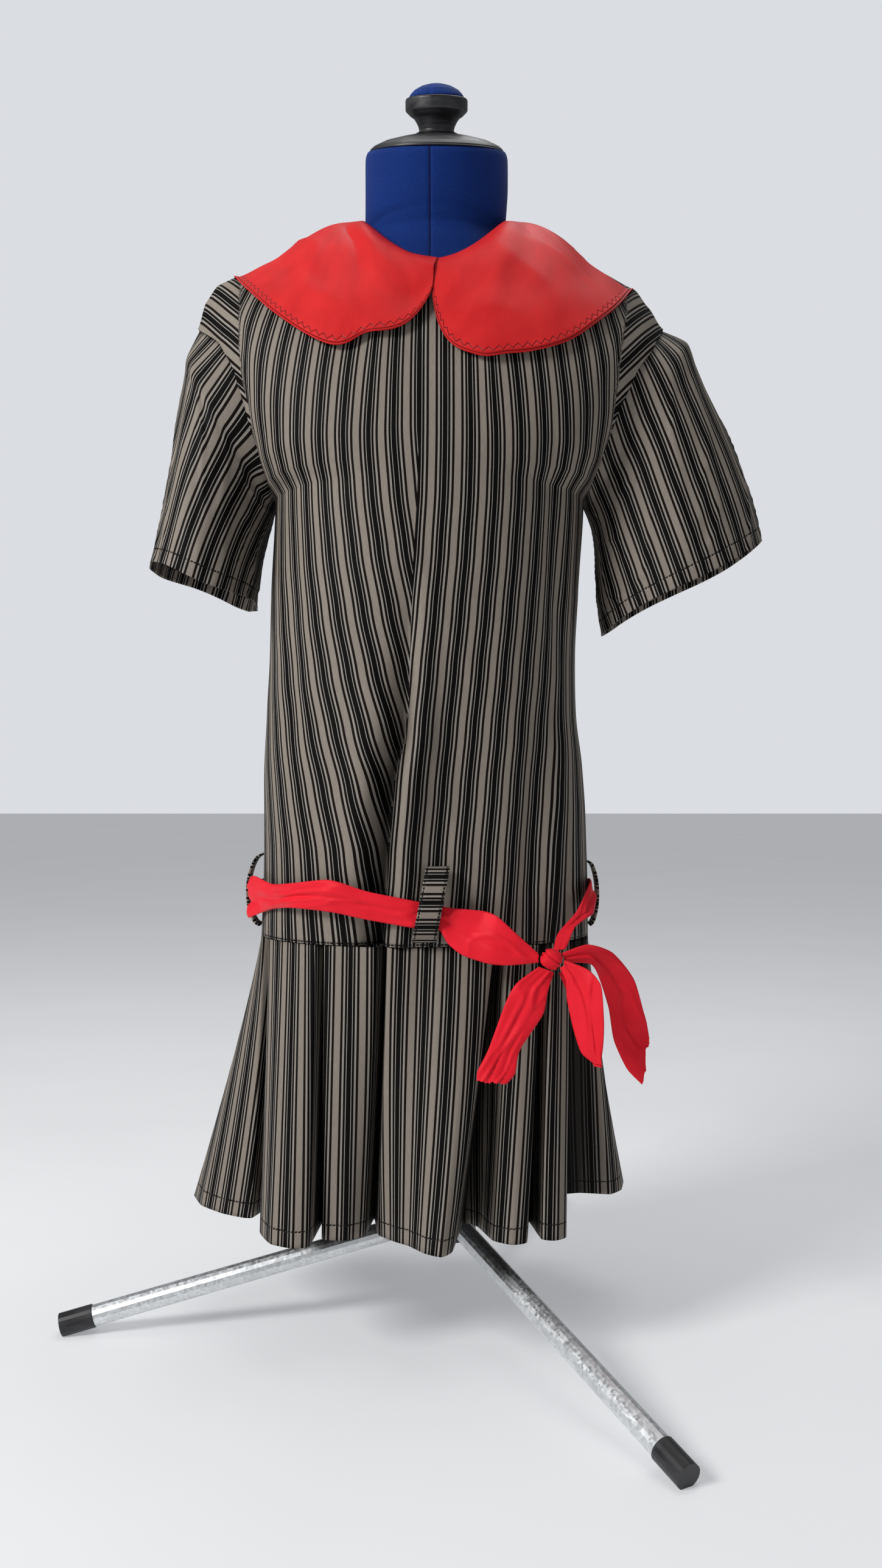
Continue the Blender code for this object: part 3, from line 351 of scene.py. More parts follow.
# Sash: each stretch is a band between its two edges
SASH_ROWS = {
    "belt_front_left": (
        (-0.1656, -0.0003, 0.4020, -0.1664, -0.0003, 0.3720),
        (-0.1735, -0.0160, 0.4050, -0.1750, -0.0180, 0.3680),
        (-0.1665, -0.0330, 0.4070, -0.1600, -0.0360, 0.3750),
        (-0.1480, -0.060, 0.4020, -0.1450, -0.062, 0.3810),
        (-0.1270, -0.088, 0.4050, -0.1260, -0.088, 0.3840),
        (-0.0940, -0.106, 0.4090, -0.0920, -0.105, 0.3820),
        (-0.0620, -0.113, 0.4000, -0.0660, -0.110, 0.3770),
        (-0.0240, -0.1155, 0.3925, -0.0260, -0.1155, 0.3705),
        (-0.0105, -0.1155, 0.3895, -0.0125, -0.1155, 0.3695),
    ),
    "belt_front_right": (
        (-0.0098, -0.1155, 0.3890, -0.0118, -0.1155, 0.3690),
        (0.0010, -0.1160, 0.3875, -0.0010, -0.1160, 0.3680),
        (0.0120, -0.1170, 0.3860, 0.0060, -0.1180, 0.3570),
        (0.0360, -0.1190, 0.3840, 0.0180, -0.1230, 0.3480),
        (0.0470, -0.1260, 0.3800, 0.0390, -0.1300, 0.3420),
        (0.0625, -0.1290, 0.3660, 0.0560, -0.1320, 0.3410),
        (0.0799, -0.1290, 0.3500, 0.0789, -0.1300, 0.3430),
    ),
    "belt_side_right": (
        (0.0935, -0.1180, 0.3510, 0.1040, -0.1160, 0.3530),
        (0.0990, -0.1040, 0.3640, 0.1130, -0.1000, 0.3690),
        (0.1180, -0.0740, 0.3800, 0.1330, -0.0620, 0.3770),
        (0.1330, -0.0400, 0.4020, 0.1375, -0.0300, 0.3840),
        (0.1366, -0.0006, 0.4030, 0.1368, -0.0006, 0.3800),
    ),
    "bow_tail_left": (
        (0.0805, -0.1318, 0.3395, 0.0925, -0.1318, 0.3350),
        (0.0620, -0.1380, 0.3270, 0.0870, -0.1380, 0.3200),
        (0.0530, -0.1400, 0.3120, 0.0830, -0.1400, 0.3020),
        (0.0390, -0.1440, 0.2750, 0.0640, -0.1440, 0.2740),
        (0.0300, -0.1480, 0.2580, 0.0600, -0.1480, 0.2560),
        (0.0290, -0.1500, 0.2500, 0.0530, -0.1500, 0.2480),
    ),
    "bow_loop": (
        (0.0976, -0.1345, 0.3394, 0.1013, -0.1338, 0.3451),
        (0.1020, -0.1385, 0.3290, 0.1190, -0.1420, 0.3390),
        (0.1030, -0.1400, 0.3140, 0.1290, -0.1500, 0.3280),
        (0.1080, -0.1430, 0.2900, 0.1310, -0.1540, 0.3050),
        (0.1140, -0.1460, 0.2720, 0.1300, -0.1560, 0.2800),
        (0.1240, -0.1500, 0.2640, 0.1280, -0.1540, 0.2640),
    ),
    "bow_loop_back": (
        (0.1286, -0.1528, 0.2617, 0.1240, -0.1492, 0.2617),
        (0.1290, -0.1330, 0.2850, 0.1150, -0.1310, 0.2800),
        (0.1250, -0.1230, 0.3100, 0.1090, -0.1230, 0.3050),
        (0.1120, -0.1210, 0.3300, 0.1020, -0.1210, 0.3240),
        (0.1030, -0.1215, 0.3400, 0.0980, -0.1215, 0.3330),
    ),
    "bow_tail_right": (
        (0.0999, -0.1262, 0.3500, 0.1016, -0.1262, 0.3430),
        (0.1220, -0.1180, 0.3560, 0.1250, -0.1180, 0.3400),
        (0.1440, -0.1080, 0.3480, 0.1340, -0.1080, 0.3240),
        (0.1630, -0.1000, 0.3250, 0.1420, -0.1000, 0.3000),
        (0.1722, -0.0960, 0.2960, 0.1470, -0.0960, 0.2720),
        (0.1755, -0.0945, 0.2830, 0.1580, -0.0945, 0.2480),
        (0.1770, -0.0940, 0.2730, 0.1712, -0.0940, 0.2340),
    ),
}
# Sharp creases along the sash: place across it at the start and the end, from and to along it, and depth
BAND_CREASES = {
    "belt_front_left": (
        (0.62, 0.45, 0.02, 1.00, 0.0032),
        (0.25, 0.30, 0.30, 0.85, 0.0014),
        (0.50, 0.75, 0.00, 0.26, 0.0030),
    ),
    "belt_front_right": ((0.35, 0.60, 0.00, 0.75, 0.0020), (0.55, 0.50, 0.45, 1.00, 0.0024)),
    "belt_side_right": ((0.50, 0.45, 0.00, 1.00, 0.0022),),
    "bow_tail_left": (
        (0.50, 0.35, 0.00, 1.00, 0.0026),
        (0.75, 0.70, 0.15, 1.00, 0.0018),
        (0.25, 0.15, 0.30, 0.90, 0.0014),
    ),
    "bow_loop": ((0.35, 0.65, 0.00, 0.95, 0.0030), (0.70, 0.80, 0.00, 0.70, 0.0014)),
    "bow_loop_back": ((0.50, 0.50, 0.10, 0.90, 0.0014),),
    "bow_tail_right": ((0.45, 0.55, 0.00, 0.80, 0.0022), (0.75, 0.30, 0.40, 1.00, 0.0014)),
}
FRAYED = ("bow_tail_left", "bow_tail_right")
NOTCH = 0.0110
BAND_BULGE = 0.0015
BACK_BELT = {"high": 0.4020, "low": 0.3740, "sag": 0.006, "stand": 0.0034}
KNOT = {"at": (0.0910, -0.1295, 0.3455), "radii": (0.0108, 0.0075, 0.0080), "lean": 20.0}

LOOP_WIDTH = 0.0200
LOOP_THICK = 0.0022
LOOP_STAND = 0.0021
LOOP_ARC = 0.5
LOOP_COLUMNS = ("foot", "head", "out", "turn")
LOOP_ROWS = {
    "loop_front": ((-0.0146, -0.1035, 0.3570), (-0.0026, -0.1100, 0.4200), 0.0165, 0.0),
    "loop_left": ((-0.1648, 0.004, 0.3600), (-0.1631, 0.004, 0.4250), 0.0125, -90.0),
    "loop_right": ((0.1350, 0.004, 0.3600), (0.1345, 0.004, 0.4180), 0.0078, 90.0),
}

FORM_COLUMNS = ("z", "x", "y", "half_width", "half_depth", "power")
FORM_ROWS = (
    (0.392, -0.010, -0.002, 0.060, 0.045, 2.2),
    (0.395, -0.010, -0.002, 0.092, 0.070, 2.2),
    (0.410, -0.010, -0.002, 0.106, 0.081, 2.2),
    (0.470, -0.010, -0.002, 0.114, 0.088, 2.2),
    (0.530, -0.010, -0.002, 0.112, 0.085, 2.2),
    (0.625, -0.008, -0.004, 0.094, 0.072, 2.2),
    (0.700, -0.008, -0.008, 0.112, 0.082, 2.2),
    (0.765, -0.007, -0.012, 0.130, 0.093, 2.3),
    (0.820, -0.006, -0.010, 0.136, 0.090, 2.5),
    (0.880, -0.006, -0.006, 0.150, 0.072, 2.8),
    (0.915, -0.006, -0.004, 0.162, 0.060, 2.8),
    (0.932, -0.006, -0.004, 0.162, 0.044, 2.3),
    (0.9486, -0.006, -0.003, 0.1622, 0.033, 2.1),
    (0.9608, -0.006, -0.002, 0.1510, 0.030, 2.0),
    (0.9728, -0.006, -0.002, 0.1275, 0.031, 2.0),
    (0.9820, -0.006, -0.002, 0.0940, 0.030, 2.0),
    (0.9900, -0.006, -0.003, 0.0720, 0.036, 2.0),
    (0.9960, -0.006, -0.005, 0.0650, 0.043, 2.0),
    (1.006, -0.005, -0.008, 0.0645, 0.051, 2.0),
    (1.030, -0.004, -0.013, 0.0650, 0.056, 2.0),
    (1.056, -0.004, -0.021, 0.0645, 0.058, 2.0),
    (1.062, -0.004, -0.023, 0.0625, 0.056, 2.0),
)
# The neck's root, which stands out of the shoulders before and behind
ROOT_TOP = 1.004
ROOT_COLUMNS = ("z", "x", "half_width", "half_depth")
ROOT_ROWS = (
    (0.880, -0.006, 0.120, 0.062),
    (0.915, -0.006, 0.106, 0.060),
    (0.9486, -0.006, 0.090, 0.056),
    (0.9728, -0.006, 0.074, 0.052),
    (0.9900, -0.006, 0.064, 0.0500),
    (1.006, -0.005, 0.0600, 0.0508),
)
NECK_TOP = (-0.004, -0.023, 1.0621)
NECK_LEAN = 20.0
NECK_LEAN_ROOT = 0.985
TURNED_ROUND = 144
TURNED_LEAST = 0.00002
CAP_PROFILE = (
    (0.0, 0.0149), (0.0190, 0.0148), (0.0330, 0.0122), (0.0475, 0.0086), (0.0570, 0.0044),
    (0.0600, 0.0020), (0.0605, 0.0008), (0.0600, 0.0), (0.0, 0.0),
)
KNOB_PROFILE = (
    (0.0, 0.0436), (0.0262, 0.0436), (0.0275, 0.0429), (0.0279, 0.0418), (0.0279, 0.0345),
    (0.0274, 0.0331), (0.0236, 0.0297), (0.0206, 0.0278), (0.0185, 0.0250), (0.0166, 0.0215),
    (0.0157, 0.0183), (0.0166, 0.0165), (0.0190, 0.0154), (0.0, 0.0154),
)
DOME_PROFILE = (
    (0.0, 0.0558), (0.0070, 0.0553), (0.0140, 0.0534), (0.0200, 0.0502), (0.0232, 0.0470),
    (0.0244, 0.0441), (0.0, 0.0441),
)

# Each sheet's width and length, flat area where it isn't a rectangle, how it is held and on what.
# The bodice's two widths are chosen, and wider than its surface reads (0.493 and 0.490).
# The sash's widths are rounded down. The rest was read from the surface before its last changes and is
# up to 7 mm off.
SHEET_COLUMNS = ("width", "length", "area", "held", "rests_on")
SHEETS = {
    "bodice_front": (0.520, 0.690, 0.2690, "hung", ("form_torso",)),
    "bodice_back": (0.500, 0.685, 0.2570, "hung", ("form_torso",)),
    "skirt_front": (1.096, 0.256, 0.1970, "hung", ("bodice_front",)),
    "skirt_back": (0.900, 0.256, 0.1620, "hung", ("bodice_back",)),
    "sleeve_left": (0.474, 0.228, 0.0660, "hung", ("bodice_front", "bodice_back")),
    "sleeve_right": (0.473, 0.224, 0.0770, "hung", ("bodice_front", "bodice_back")),
    "collar_left": (0.156, 0.553, 0.0460, "draped", ("bodice_front", "bodice_back")),
    "collar_right": (0.164, 0.578, 0.0497, "draped", ("bodice_front", "bodice_back")),
    "belt_front_left": (0.036, 0.228, 0.0064, "stretched", ("loop_left", "loop_front")),
    "belt_front_right": (0.032, 0.105, 0.0030, "stretched", ("loop_front",)),
    "belt_side_right": (0.024, 0.142, 0.0023, "stretched", ("loop_right",)),
    "belt_back": (0.028, 0.420, None, "stretched", ("loop_left", "loop_right")),
    "bow_tail_left": (0.032, 0.109, 0.0028, "hung", ("belt_knot",)),
    "bow_tail_right": (0.036, 0.140, 0.0035, "hung", ("belt_knot",)),
    "bow_loop": (0.033, 0.102, 0.0021, "folded", ("belt_knot",)),
    "bow_loop_back": (0.018, 0.095, 0.0012, "folded", ("belt_knot",)),
    "loop_front": (0.020, 0.077, None, "hung", ("bodice_front",)),
    "loop_left": (0.020, 0.073, None, "hung", ("bodice_front", "bodice_back")),
    "loop_right": (0.020, 0.062, None, "hung", ("bodice_front", "bodice_back")),
}


def between(rows, columns, key, at):
    """The row of a table at a place between its rows, on a smooth curve, as a dict of columns."""
    index = columns.index(key)
    rising = rows if rows[-1][index] > rows[0][index] else rows[::-1]
    places = [row[index] for row in rising]
    at = min(max(at, places[0]), places[-1])
    low = max(i for i in range(len(places) - 1) if places[i] <= at)
    share = (at - places[low]) / (places[low + 1] - places[low])
    found = {}
    for column, name in enumerate(columns):
        if isinstance(rising[0][column], str):
            continue
        before = rising[max(low - 1, 0)][column]
        start = rising[low][column]
        end = rising[low + 1][column]
        after = rising[min(low + 2, len(rising) - 1)][column]
        found[name] = spline(before, start, end, after, share)
    return found


def spline(before, start, end, after, share, slack=SOFT):
    """A Catmull-Rom curve with eased slopes, from start at share 0 to end at share 1."""
    leave = slack * (end - before)
    arrive = slack * (after - start)
    square = share * share
    cube = square * share
    return (
        start * (2 * cube - 3 * square + 1)
        + leave * (cube - 2 * square + share)
        + end * (3 * square - 2 * cube)
        + arrive * (cube - square)
    )


def line_of(rows, steps, slack=SOFT):
    """Points evenly spaced by row along a smooth curve through rows of numbers."""
    found = []
    for step in range(steps + 1):
        place = step / steps * (len(rows) - 1)
        low = min(int(place), len(rows) - 2)
        before = rows[max(low - 1, 0)]
        after = rows[min(low + 2, len(rows) - 1)]
        found.append(
            [
                spline(*numbers, place - low, slack)
                for numbers in zip(before, rows[low], rows[low + 1], after)
            ]
        )
    return found


def ease(share):
    share = min(max(share, 0.0), 1.0)
    return share * share * (3.0 - 2.0 * share)


def bell(away, width):
    """1 at the middle, falling away smoothly on both sides."""
    return math.exp(-((away / width) ** 2))


def lap_x(z):
    return between(LAP_LINE, LAP_COLUMNS, "z", z)["x"]


def lap_depth(x, z):
    """The lapped fold: the cloth sinks gently from the left and comes out steeply on the right."""
    if z > LAP_TOP:
        return 0.0
    grow = ease((LAP_TOP - z) / LAP_GROWTH)
    away = x - lap_x(z)
    if away < 0:
        return LAP_DEPTH * grow * bell(away, LAP_WIDTH)
    steep = 0.0060 - 0.0040 * grow
    puffed = bell(z - LAP_PUFF_Z, LAP_PUFF_SPAN)
    rolled = LAP_ROLL * grow * (0.5 + puffed) * bell(away - LAP_ROLL_AWAY, LAP_ROLL_WIDTH)
    return LAP_DEPTH * grow * bell(away, steep) - rolled


def fold_depth(side, x, z):
    """How far the folds drop the bodice's cloth back at a place."""
    depth = lap_depth(x, z) if side == "front" else 0.0
    for row in FOLD_ROWS:
        fold = dict(zip(FOLD_COLUMNS, row))
        if fold["side"] != side:
            continue
        share = (fold["z0"] - z) / (fold["z0"] - fold["z1"])
        if not 0.0 < share < 1.0 + FOLD_TAIL:
            continue
        middle = fold["x0"] + (fold["x1"] - fold["x0"]) * share
        grows = math.sin(0.5 * math.pi * min(share / FOLD_GROWTH, 1.0)) ** 2
        fades = 1.0 - max(share - 1.0, 0.0) / FOLD_TAIL
        depth += fold["depth"] * grows * fades * bell(x - middle, fold["width"])
    return depth


def sign_of(side):
    """The way along Y that a side of the dress faces."""
    return -1.0 if side == "front" else 1.0


def hand_of(name):
    """The way along X that a left or right piece lies."""
    return -1.0 if name.endswith("_left") else 1.0


def across_row(row, u):
    """x at u between a row's left and right edges."""
    return 0.5 * (row["left"] + row["right"]) + 0.5 * u * (row["right"] - row["left"])


def u_across(row, x):
    """u of an x between a row's left and right edges."""
    return (2 * x - row["left"] - row["right"]) / (row["right"] - row["left"])


def circle(around):
    """The angles of a ring's points."""
    return [2 * math.pi * i / around for i in range(around)]


def closing(u):
    return max(1.0 - abs(u) ** SECTION_POWER, 0.0) ** SECTION_ROUND


def neck_share(x):
    return (x - NECK_X) / NECK_HALF_WIDTH


def top_height(side, x):
    """Height of the bodice's top edge: the neckline, or the shoulder seam outside it."""
    share = neck_share(x)
    if abs(share) < 1.0:
        return NECK_LOW_Z[side] + (NECK_SIDE_Z - NECK_LOW_Z[side]) * share * share
    return between(SHOULDER_ROWS, SHOULDER_COLUMNS, "x", x)["z"]


def top_stand(side, x):
    """How far the bodice's top edge stands from the shoulder line."""
    share = neck_share(x)
    if abs(share) >= 1.0:
        return 0.0
    return NECK_HALF_DEPTH[side] * math.sqrt(1.0 - share * share)


def bodice_point(side, u, rise):
    """A point of the bodice's cloth. u is -1 at the left edge and 1 at the right one. rise is below
    zero under the underarm, as metres, and 0 to 1 from there to the top edge."""
    sign = sign_of(side)
    if rise <= 0.0:
        z = UNDERARM_Z + rise
        row = between(BODICE_ROWS, BODICE_COLUMNS, "z", z)
        x = across_row(row, u)
        y = row[side] * closing(u) - fold_depth(side, x, z)
        return Vector((x, sign * max(y, 0.0), z))
    row = between(YOKE_ROWS, YOKE_COLUMNS, "rise", rise)
    x = across_row(row, u)
    top_x = across_row(YOKE_TOP, u)
    z = UNDERARM_Z + rise * (top_height(side, top_x) - UNDERARM_Z)
    full = row["stand"] + (row[side] - row["stand"]) * closing(u)
    turned = max(1.0 - rise**SHOULDER_TURN, 0.0) ** SHOULDER_ROUND
    y = full * turned + top_stand(side, top_x) * (1.0 - turned)
    return Vector((x, sign * (y - fold_depth(side, x, z) * closing(u)), z))


def bodice_normal(side, u, rise):
    """Outward direction of the bodice's cloth at a point, which turns to face up along the shoulders."""
    level = min(rise, RIDGE_RISE)
    step_u = 0.02 if u < 0 else -0.02
    here = bodice_point(side, u, level)
    across = bodice_point(side, u + step_u, level) - here
    down = bodice_point(side, u, level - 0.03) - here
    normal = across.cross(down).normalized()
    outward = Vector((here.x - NECK_X, here.y, 0.12))
    if normal.dot(outward) < 0:
        normal = -normal
    ridge = bodice_point(side, u, 1.0)
    slope = top_height(side, ridge.x + 0.004) - top_height(side, ridge.x - 0.004)
    upward = Vector((-slope / 0.008, 0.0, 1.0)).normalized()
    share = min(max((rise - RIDGE_RISE) / (1.0 - RIDGE_RISE), 0.0), 1.0)
    if abs(neck_share(ridge.x)) < NECKLINE_SHARE:
        share *= NECK_FACING
    return normal.lerp(upward, share).normalized()


def place_on_bodice(side, x, z):
    """u and rise of the bodice's point at a given x and z."""
    rise = 0.5
    u = 0.0
    for _ in range(PLACE_PASSES):
        u = u_across(between(YOKE_ROWS, YOKE_COLUMNS, "rise", rise), x)
        full = top_height(side, across_row(YOKE_TOP, u)) - UNDERARM_Z
        rise += 0.5 * ((z - UNDERARM_Z) / full - rise)
    return u, rise


def top_u(x):
    """u of the top edge's point at x."""
    return u_across(YOKE_TOP, x)


class Shader:
    """A material that is built node by node."""

    def __init__(self, name, roughness, metallic=0.0, sheen=0.0, specular=0.5):
        self.material = bpy.data.materials.new(name)
        self.material.use_nodes = True
        self.nodes = self.material.node_tree.nodes
        self.links = self.material.node_tree.links
        self.main = self.nodes["Principled BSDF"]
        self.main.inputs["Roughness"].default_value = roughness
        self.main.inputs["Metallic"].default_value = metallic
        self.main.inputs["Sheen Weight"].default_value = sheen
        self.main.inputs["Specular IOR Level"].default_value = specular

    def put(self, kind, values=None, **settings):
        node = self.nodes.new(kind)
        for key, value in settings.items():
            setattr(node, key, value)
        for key, value in (values or {}).items():
            if isinstance(value, bpy.types.NodeSocket):
                self.links.new(value, node.inputs[key])
            else:
                node.inputs[key].default_value = value
        return node

    def maths(self, operation, a, b=0.0, c=0.0):
        return self.put("ShaderNodeMath", {0: a, 1: b, 2: c}, operation=operation).outputs[0]

    def ramp(self, value, stops, smooth="LINEAR"):
        node = self.put("ShaderNodeValToRGB", {"Fac": value})
        band = node.color_ramp
        band.interpolation = smooth
        while len(band.elements) < len(stops):
            band.elements.new(1.0)
        for element, (place, colour) in zip(band.elements, stops):
            element.position = place
            element.color = (*colour, 1.0)
        return node.outputs["Color"]

    def mix(self, share, a, b, blend="MIX"):
        node = self.put("ShaderNodeMix", data_type="RGBA", blend_type=blend)
        for index, value in ((0, share), (6, a), (7, b)):
            if isinstance(value, bpy.types.NodeSocket):
                self.links.new(value, node.inputs[index])
            else:
                node.inputs[index].default_value = value if index == 0 else (*value, 1.0)
        return node.outputs[2]

    def parts(self, place):
        return self.put("ShaderNodeSeparateXYZ", {0: place}).outputs

    def layer(self, name):
        """The place on the cloth in metres: across and along its stripes in the layer fabric, and from
        and along a stitched edge in the layer edge."""
        return self.put("ShaderNodeUVMap", uv_map=name).outputs[0]

    def off(self, value, middle):
        """How far a value lies from the middle of a line."""
        return self.maths("ABSOLUTE", self.maths("SUBTRACT", value, middle))

    def dent(self, off, width, blend, depth, strength):
        """A line that is sunk where off is near zero."""
        self.bump(self.maths("SMOOTH_MIN", self.maths("DIVIDE", off, width), 1.0, blend), depth, strength)

    def object_place(self):
        return self.put("ShaderNodeTexCoord").outputs["Object"]

    def noise(self, place, scale, detail=3.0, stretch=None):
        if stretch is not None:
            place = self.put("ShaderNodeMapping", {"Vector": place, "Scale": stretch}).outputs[0]
        node = self.put("ShaderNodeTexNoise", {"Vector": place, "Scale": scale, "Detail": detail})
        return node.outputs[0]

    def bump(self, height, distance, strength=1.0):
        values = {"Height": height, "Distance": distance, "Strength": strength}
        if self.main.inputs["Normal"].is_linked:
            values["Normal"] = self.main.inputs["Normal"].links[0].from_socket
        node = self.put("ShaderNodeBump", values)
        self.links.new(node.outputs[0], self.main.inputs["Normal"])

    def colour(self, value):
        self.links.new(value, self.main.inputs["Base Color"])

    def rough(self, value):
        self.links.new(value, self.main.inputs["Roughness"])


BLACK = (0.0040, 0.0033, 0.0030)
BROWN_BLACK = (0.0070, 0.0046, 0.0036)
TAUPE = (0.250, 0.218, 0.186)
LIGHT_GREY = (0.280, 0.254, 0.226)
THIN_LINE = (0.290, 0.270, 0.246)
# Painted shade: how far the cloth is mixed towards black in the deepest folds
HOLLOW_PAINTED_SHADE = 0.9
RIB_PITCH = 0.0011
STITCH_HALF_WIDTH = 0.0007
STITCH_STEP = 0.0030
STITCH_SHARE = 0.72
STITCH_COLOUR = (0.010, 0.009, 0.009)
# The collar's zigzag, and the line that the turned rim presses, which is sunk and also painted darker as
# shade
ZIGZAG_STEP = 0.0086
ZIGZAG_SWING = 0.0085
ZIGZAG_HALF_WIDTH = 0.0006
RIM_AWAY = 0.0017
RIM_HALF_WIDTH = 0.0004
SATIN_ROUGHNESS = 0.42
# The seam down the front of the form's cover
FORM_SEAM_X = -0.0097
FORM_SEAM_HALF_WIDTH = 0.0007
STRIPES = (
    (0.000, BLACK),
    (0.178, THIN_LINE),
    (0.234, BLACK),
    (0.406, LIGHT_GREY),
    (0.552, BROWN_BLACK),
    (0.744, TAUPE),
)


def grey(tone):
    return (tone, tone, tone)


def twill(shader, across, along, pitch):
    """A fine diagonal rib, as a height from 0 to 1."""
    slant = shader.maths("ADD", across, shader.maths("MULTIPLY", along, 0.75))
    turns = shader.maths("MULTIPLY", slant, 2 * math.pi / pitch)
    return shader.maths("MULTIPLY_ADD", shader.maths("SINE", turns), 0.5, 0.5)


def stripe_material():
    shader = Shader("striped_cloth", 0.6, sheen=0.0, specular=0.05)
    place = shader.layer("fabric")
    across, along = shader.parts(place)[:2]
    wobble = shader.noise(place, 22.0, 2.0)
    moved = shader.maths("MULTIPLY_ADD", shader.maths("SUBTRACT", wobble, 0.5), 0.0003, across)
    half = shader.maths("PINGPONG", shader.maths("DIVIDE", moved, PERIOD), 0.5)
    stripes = shader.ramp(shader.maths("MULTIPLY", half, 2.0), STRIPES, "CONSTANT")
    threads = shader.noise(place, 1.0, 2.0, (1900.0, 150.0, 1.0))
    shade = shader.ramp(threads, ((0.25, (0.86, 0.86, 0.86)), (0.75, (1.10, 1.09, 1.07))))
    colour = shader.mix(1.0, stripes, shade, "MULTIPLY")
    ribs = twill(shader, across, along, RIB_PITCH)
    rib_shade = shader.ramp(ribs, ((0.0, grey(0.80)), (1.0, grey(1.10))))
    colour = shader.mix(1.0, colour, rib_shade, "MULTIPLY")
    edge, along_edge = shader.parts(shader.layer("edge"))[:2]
    off = shader.off(edge, HEM_STITCH)
    line = shader.maths("LESS_THAN", off, STITCH_HALF_WIDTH)
    turns = shader.maths("FRACT", shader.maths("DIVIDE", along_edge, STITCH_STEP))
    stitch = shader.maths("MULTIPLY", line, shader.maths("LESS_THAN", turns, STITCH_SHARE))
    # Painted shade: the cloth is mixed towards black where the third layer says it lies in a deep fold
    deep = shader.parts(shader.layer("painted_shade"))[0]
    colour = shader.mix(shader.maths("MULTIPLY", deep, HOLLOW_PAINTED_SHADE), colour, BLACK)
    shader.colour(shader.mix(stitch, colour, STITCH_COLOUR))
    shader.bump(ribs, 0.00005, 0.6)
    shader.bump(shader.noise(place, 1.0, 3.0, (90.0, 30.0, 1.0)), 0.0010, 0.5)
    shader.dent(off, 0.0016, 0.3, 0.0006, 0.8)
    return shader.material


def satin_material(name, colour, deep, stitched):
    """Satin. stitched is how far from the edge its zigzag starts, or 0 where it has none."""
    shader = Shader(name, SATIN_ROUGHNESS, sheen=0.0, specular=0.26)
    shader.main.inputs["Specular Tint"].default_value = (1.0, 0.30, 0.28, 1.0)
    place = shader.layer("fabric")
    threads = shader.noise(place, 1.0, 2.0, (300.0, 3600.0, 1.0))
    cloud = shader.noise(place, 26.0, 3.0)
    tint = shader.mix(shader.ramp(cloud, ((0.35, grey(0.0)), (0.70, grey(1.0)))), deep, colour)
    shade = shader.ramp(threads, ((0.25, grey(0.90)), (0.75, grey(1.05))))
    colour_now = shader.mix(1.0, tint, shade, "MULTIPLY")
    if stitched:
        edge, along_edge = shader.parts(shader.layer("edge"))[:2]
        wave = shader.maths("PINGPONG", shader.maths("DIVIDE", along_edge, ZIGZAG_STEP), 0.5)
        off = shader.off(edge, shader.maths("MULTIPLY_ADD", wave, ZIGZAG_SWING, stitched))
        line = shader.maths("LESS_THAN", off, ZIGZAG_HALF_WIDTH)
        # Painted shade: the rim's pressed groove gets the same darker red as the zigzag's thread
        rim_off = shader.off(edge, RIM_AWAY)
        rim_painted_shade = shader.maths("LESS_THAN", rim_off, RIM_HALF_WIDTH)
        darker = tuple(0.34 * part for part in deep)
        colour_now = shader.mix(shader.maths("MAXIMUM", line, rim_painted_shade), colour_now, darker)
        shader.dent(off, 0.0012, 0.3, 0.0005, 0.9)
        shader.dent(rim_off, 0.0014, 0.3, 0.0010, 0.9)
    shader.colour(colour_now)
    shader.rough(shader.maths("MULTIPLY_ADD", cloud, 0.14, SATIN_ROUGHNESS))
    shader.bump(threads, 0.00006, 0.5)
    shader.bump(shader.noise(place, 1.0, 2.0, (34.0, 16.0, 1.0)), 0.0016, 0.5)
    return shader.material


def form_material():
    shader = Shader("form_cover", 0.85, sheen=0.06, specular=0.12)
    place = shader.object_place()
    weave = shader.noise(place, 900.0, 2.0)
    cloud = shader.noise(place, 14.0, 3.0)
    base = shader.mix(cloud, (0.0024, 0.018, 0.118), (0.0036, 0.030, 0.185))
    shade = shader.ramp(weave, ((0.3, (0.72, 0.74, 0.80)), (0.7, (1.20, 1.18, 1.12))))
    x, y, z = shader.parts(place)
    off = shader.off(x, SHIFT.x + FORM_SEAM_X)
    in_front = shader.maths("LESS_THAN", y, SHIFT.y - 0.010)
    below_cap = shader.maths("LESS_THAN", z, NECK_TOP[2] + 0.006)
    on_neck = shader.maths("MULTIPLY", in_front, below_cap)
    seam = shader.maths("MULTIPLY", shader.maths("LESS_THAN", off, FORM_SEAM_HALF_WIDTH), on_neck)
    colour = shader.mix(1.0, base, shade, "MULTIPLY")
    shader.colour(shader.mix(seam, colour, (0.0012, 0.006, 0.045)))
    shader.bump(weave, 0.0002, 0.7)
    shader.dent(off, 0.003, 0.4, 0.0008, 0.9)
    return shader.material


def plastic_material():
    shader = Shader("black_plastic", 0.42, specular=0.5)
    place = shader.object_place()
    grain = shader.noise(place, 1300.0, 2.0)
    scuffs = shader.noise(place, 60.0, 6.0, (1.0, 1.0, 3.0))
    shader.colour(shader.ramp(scuffs, ((0.40, (0.010, 0.010, 0.011)), (0.72, (0.030, 0.030, 0.033)))))
    shader.rough(shader.maths("MULTIPLY_ADD", scuffs, 0.35, 0.24))
    shader.bump(grain, 0.00006, 0.6)
    return shader.material


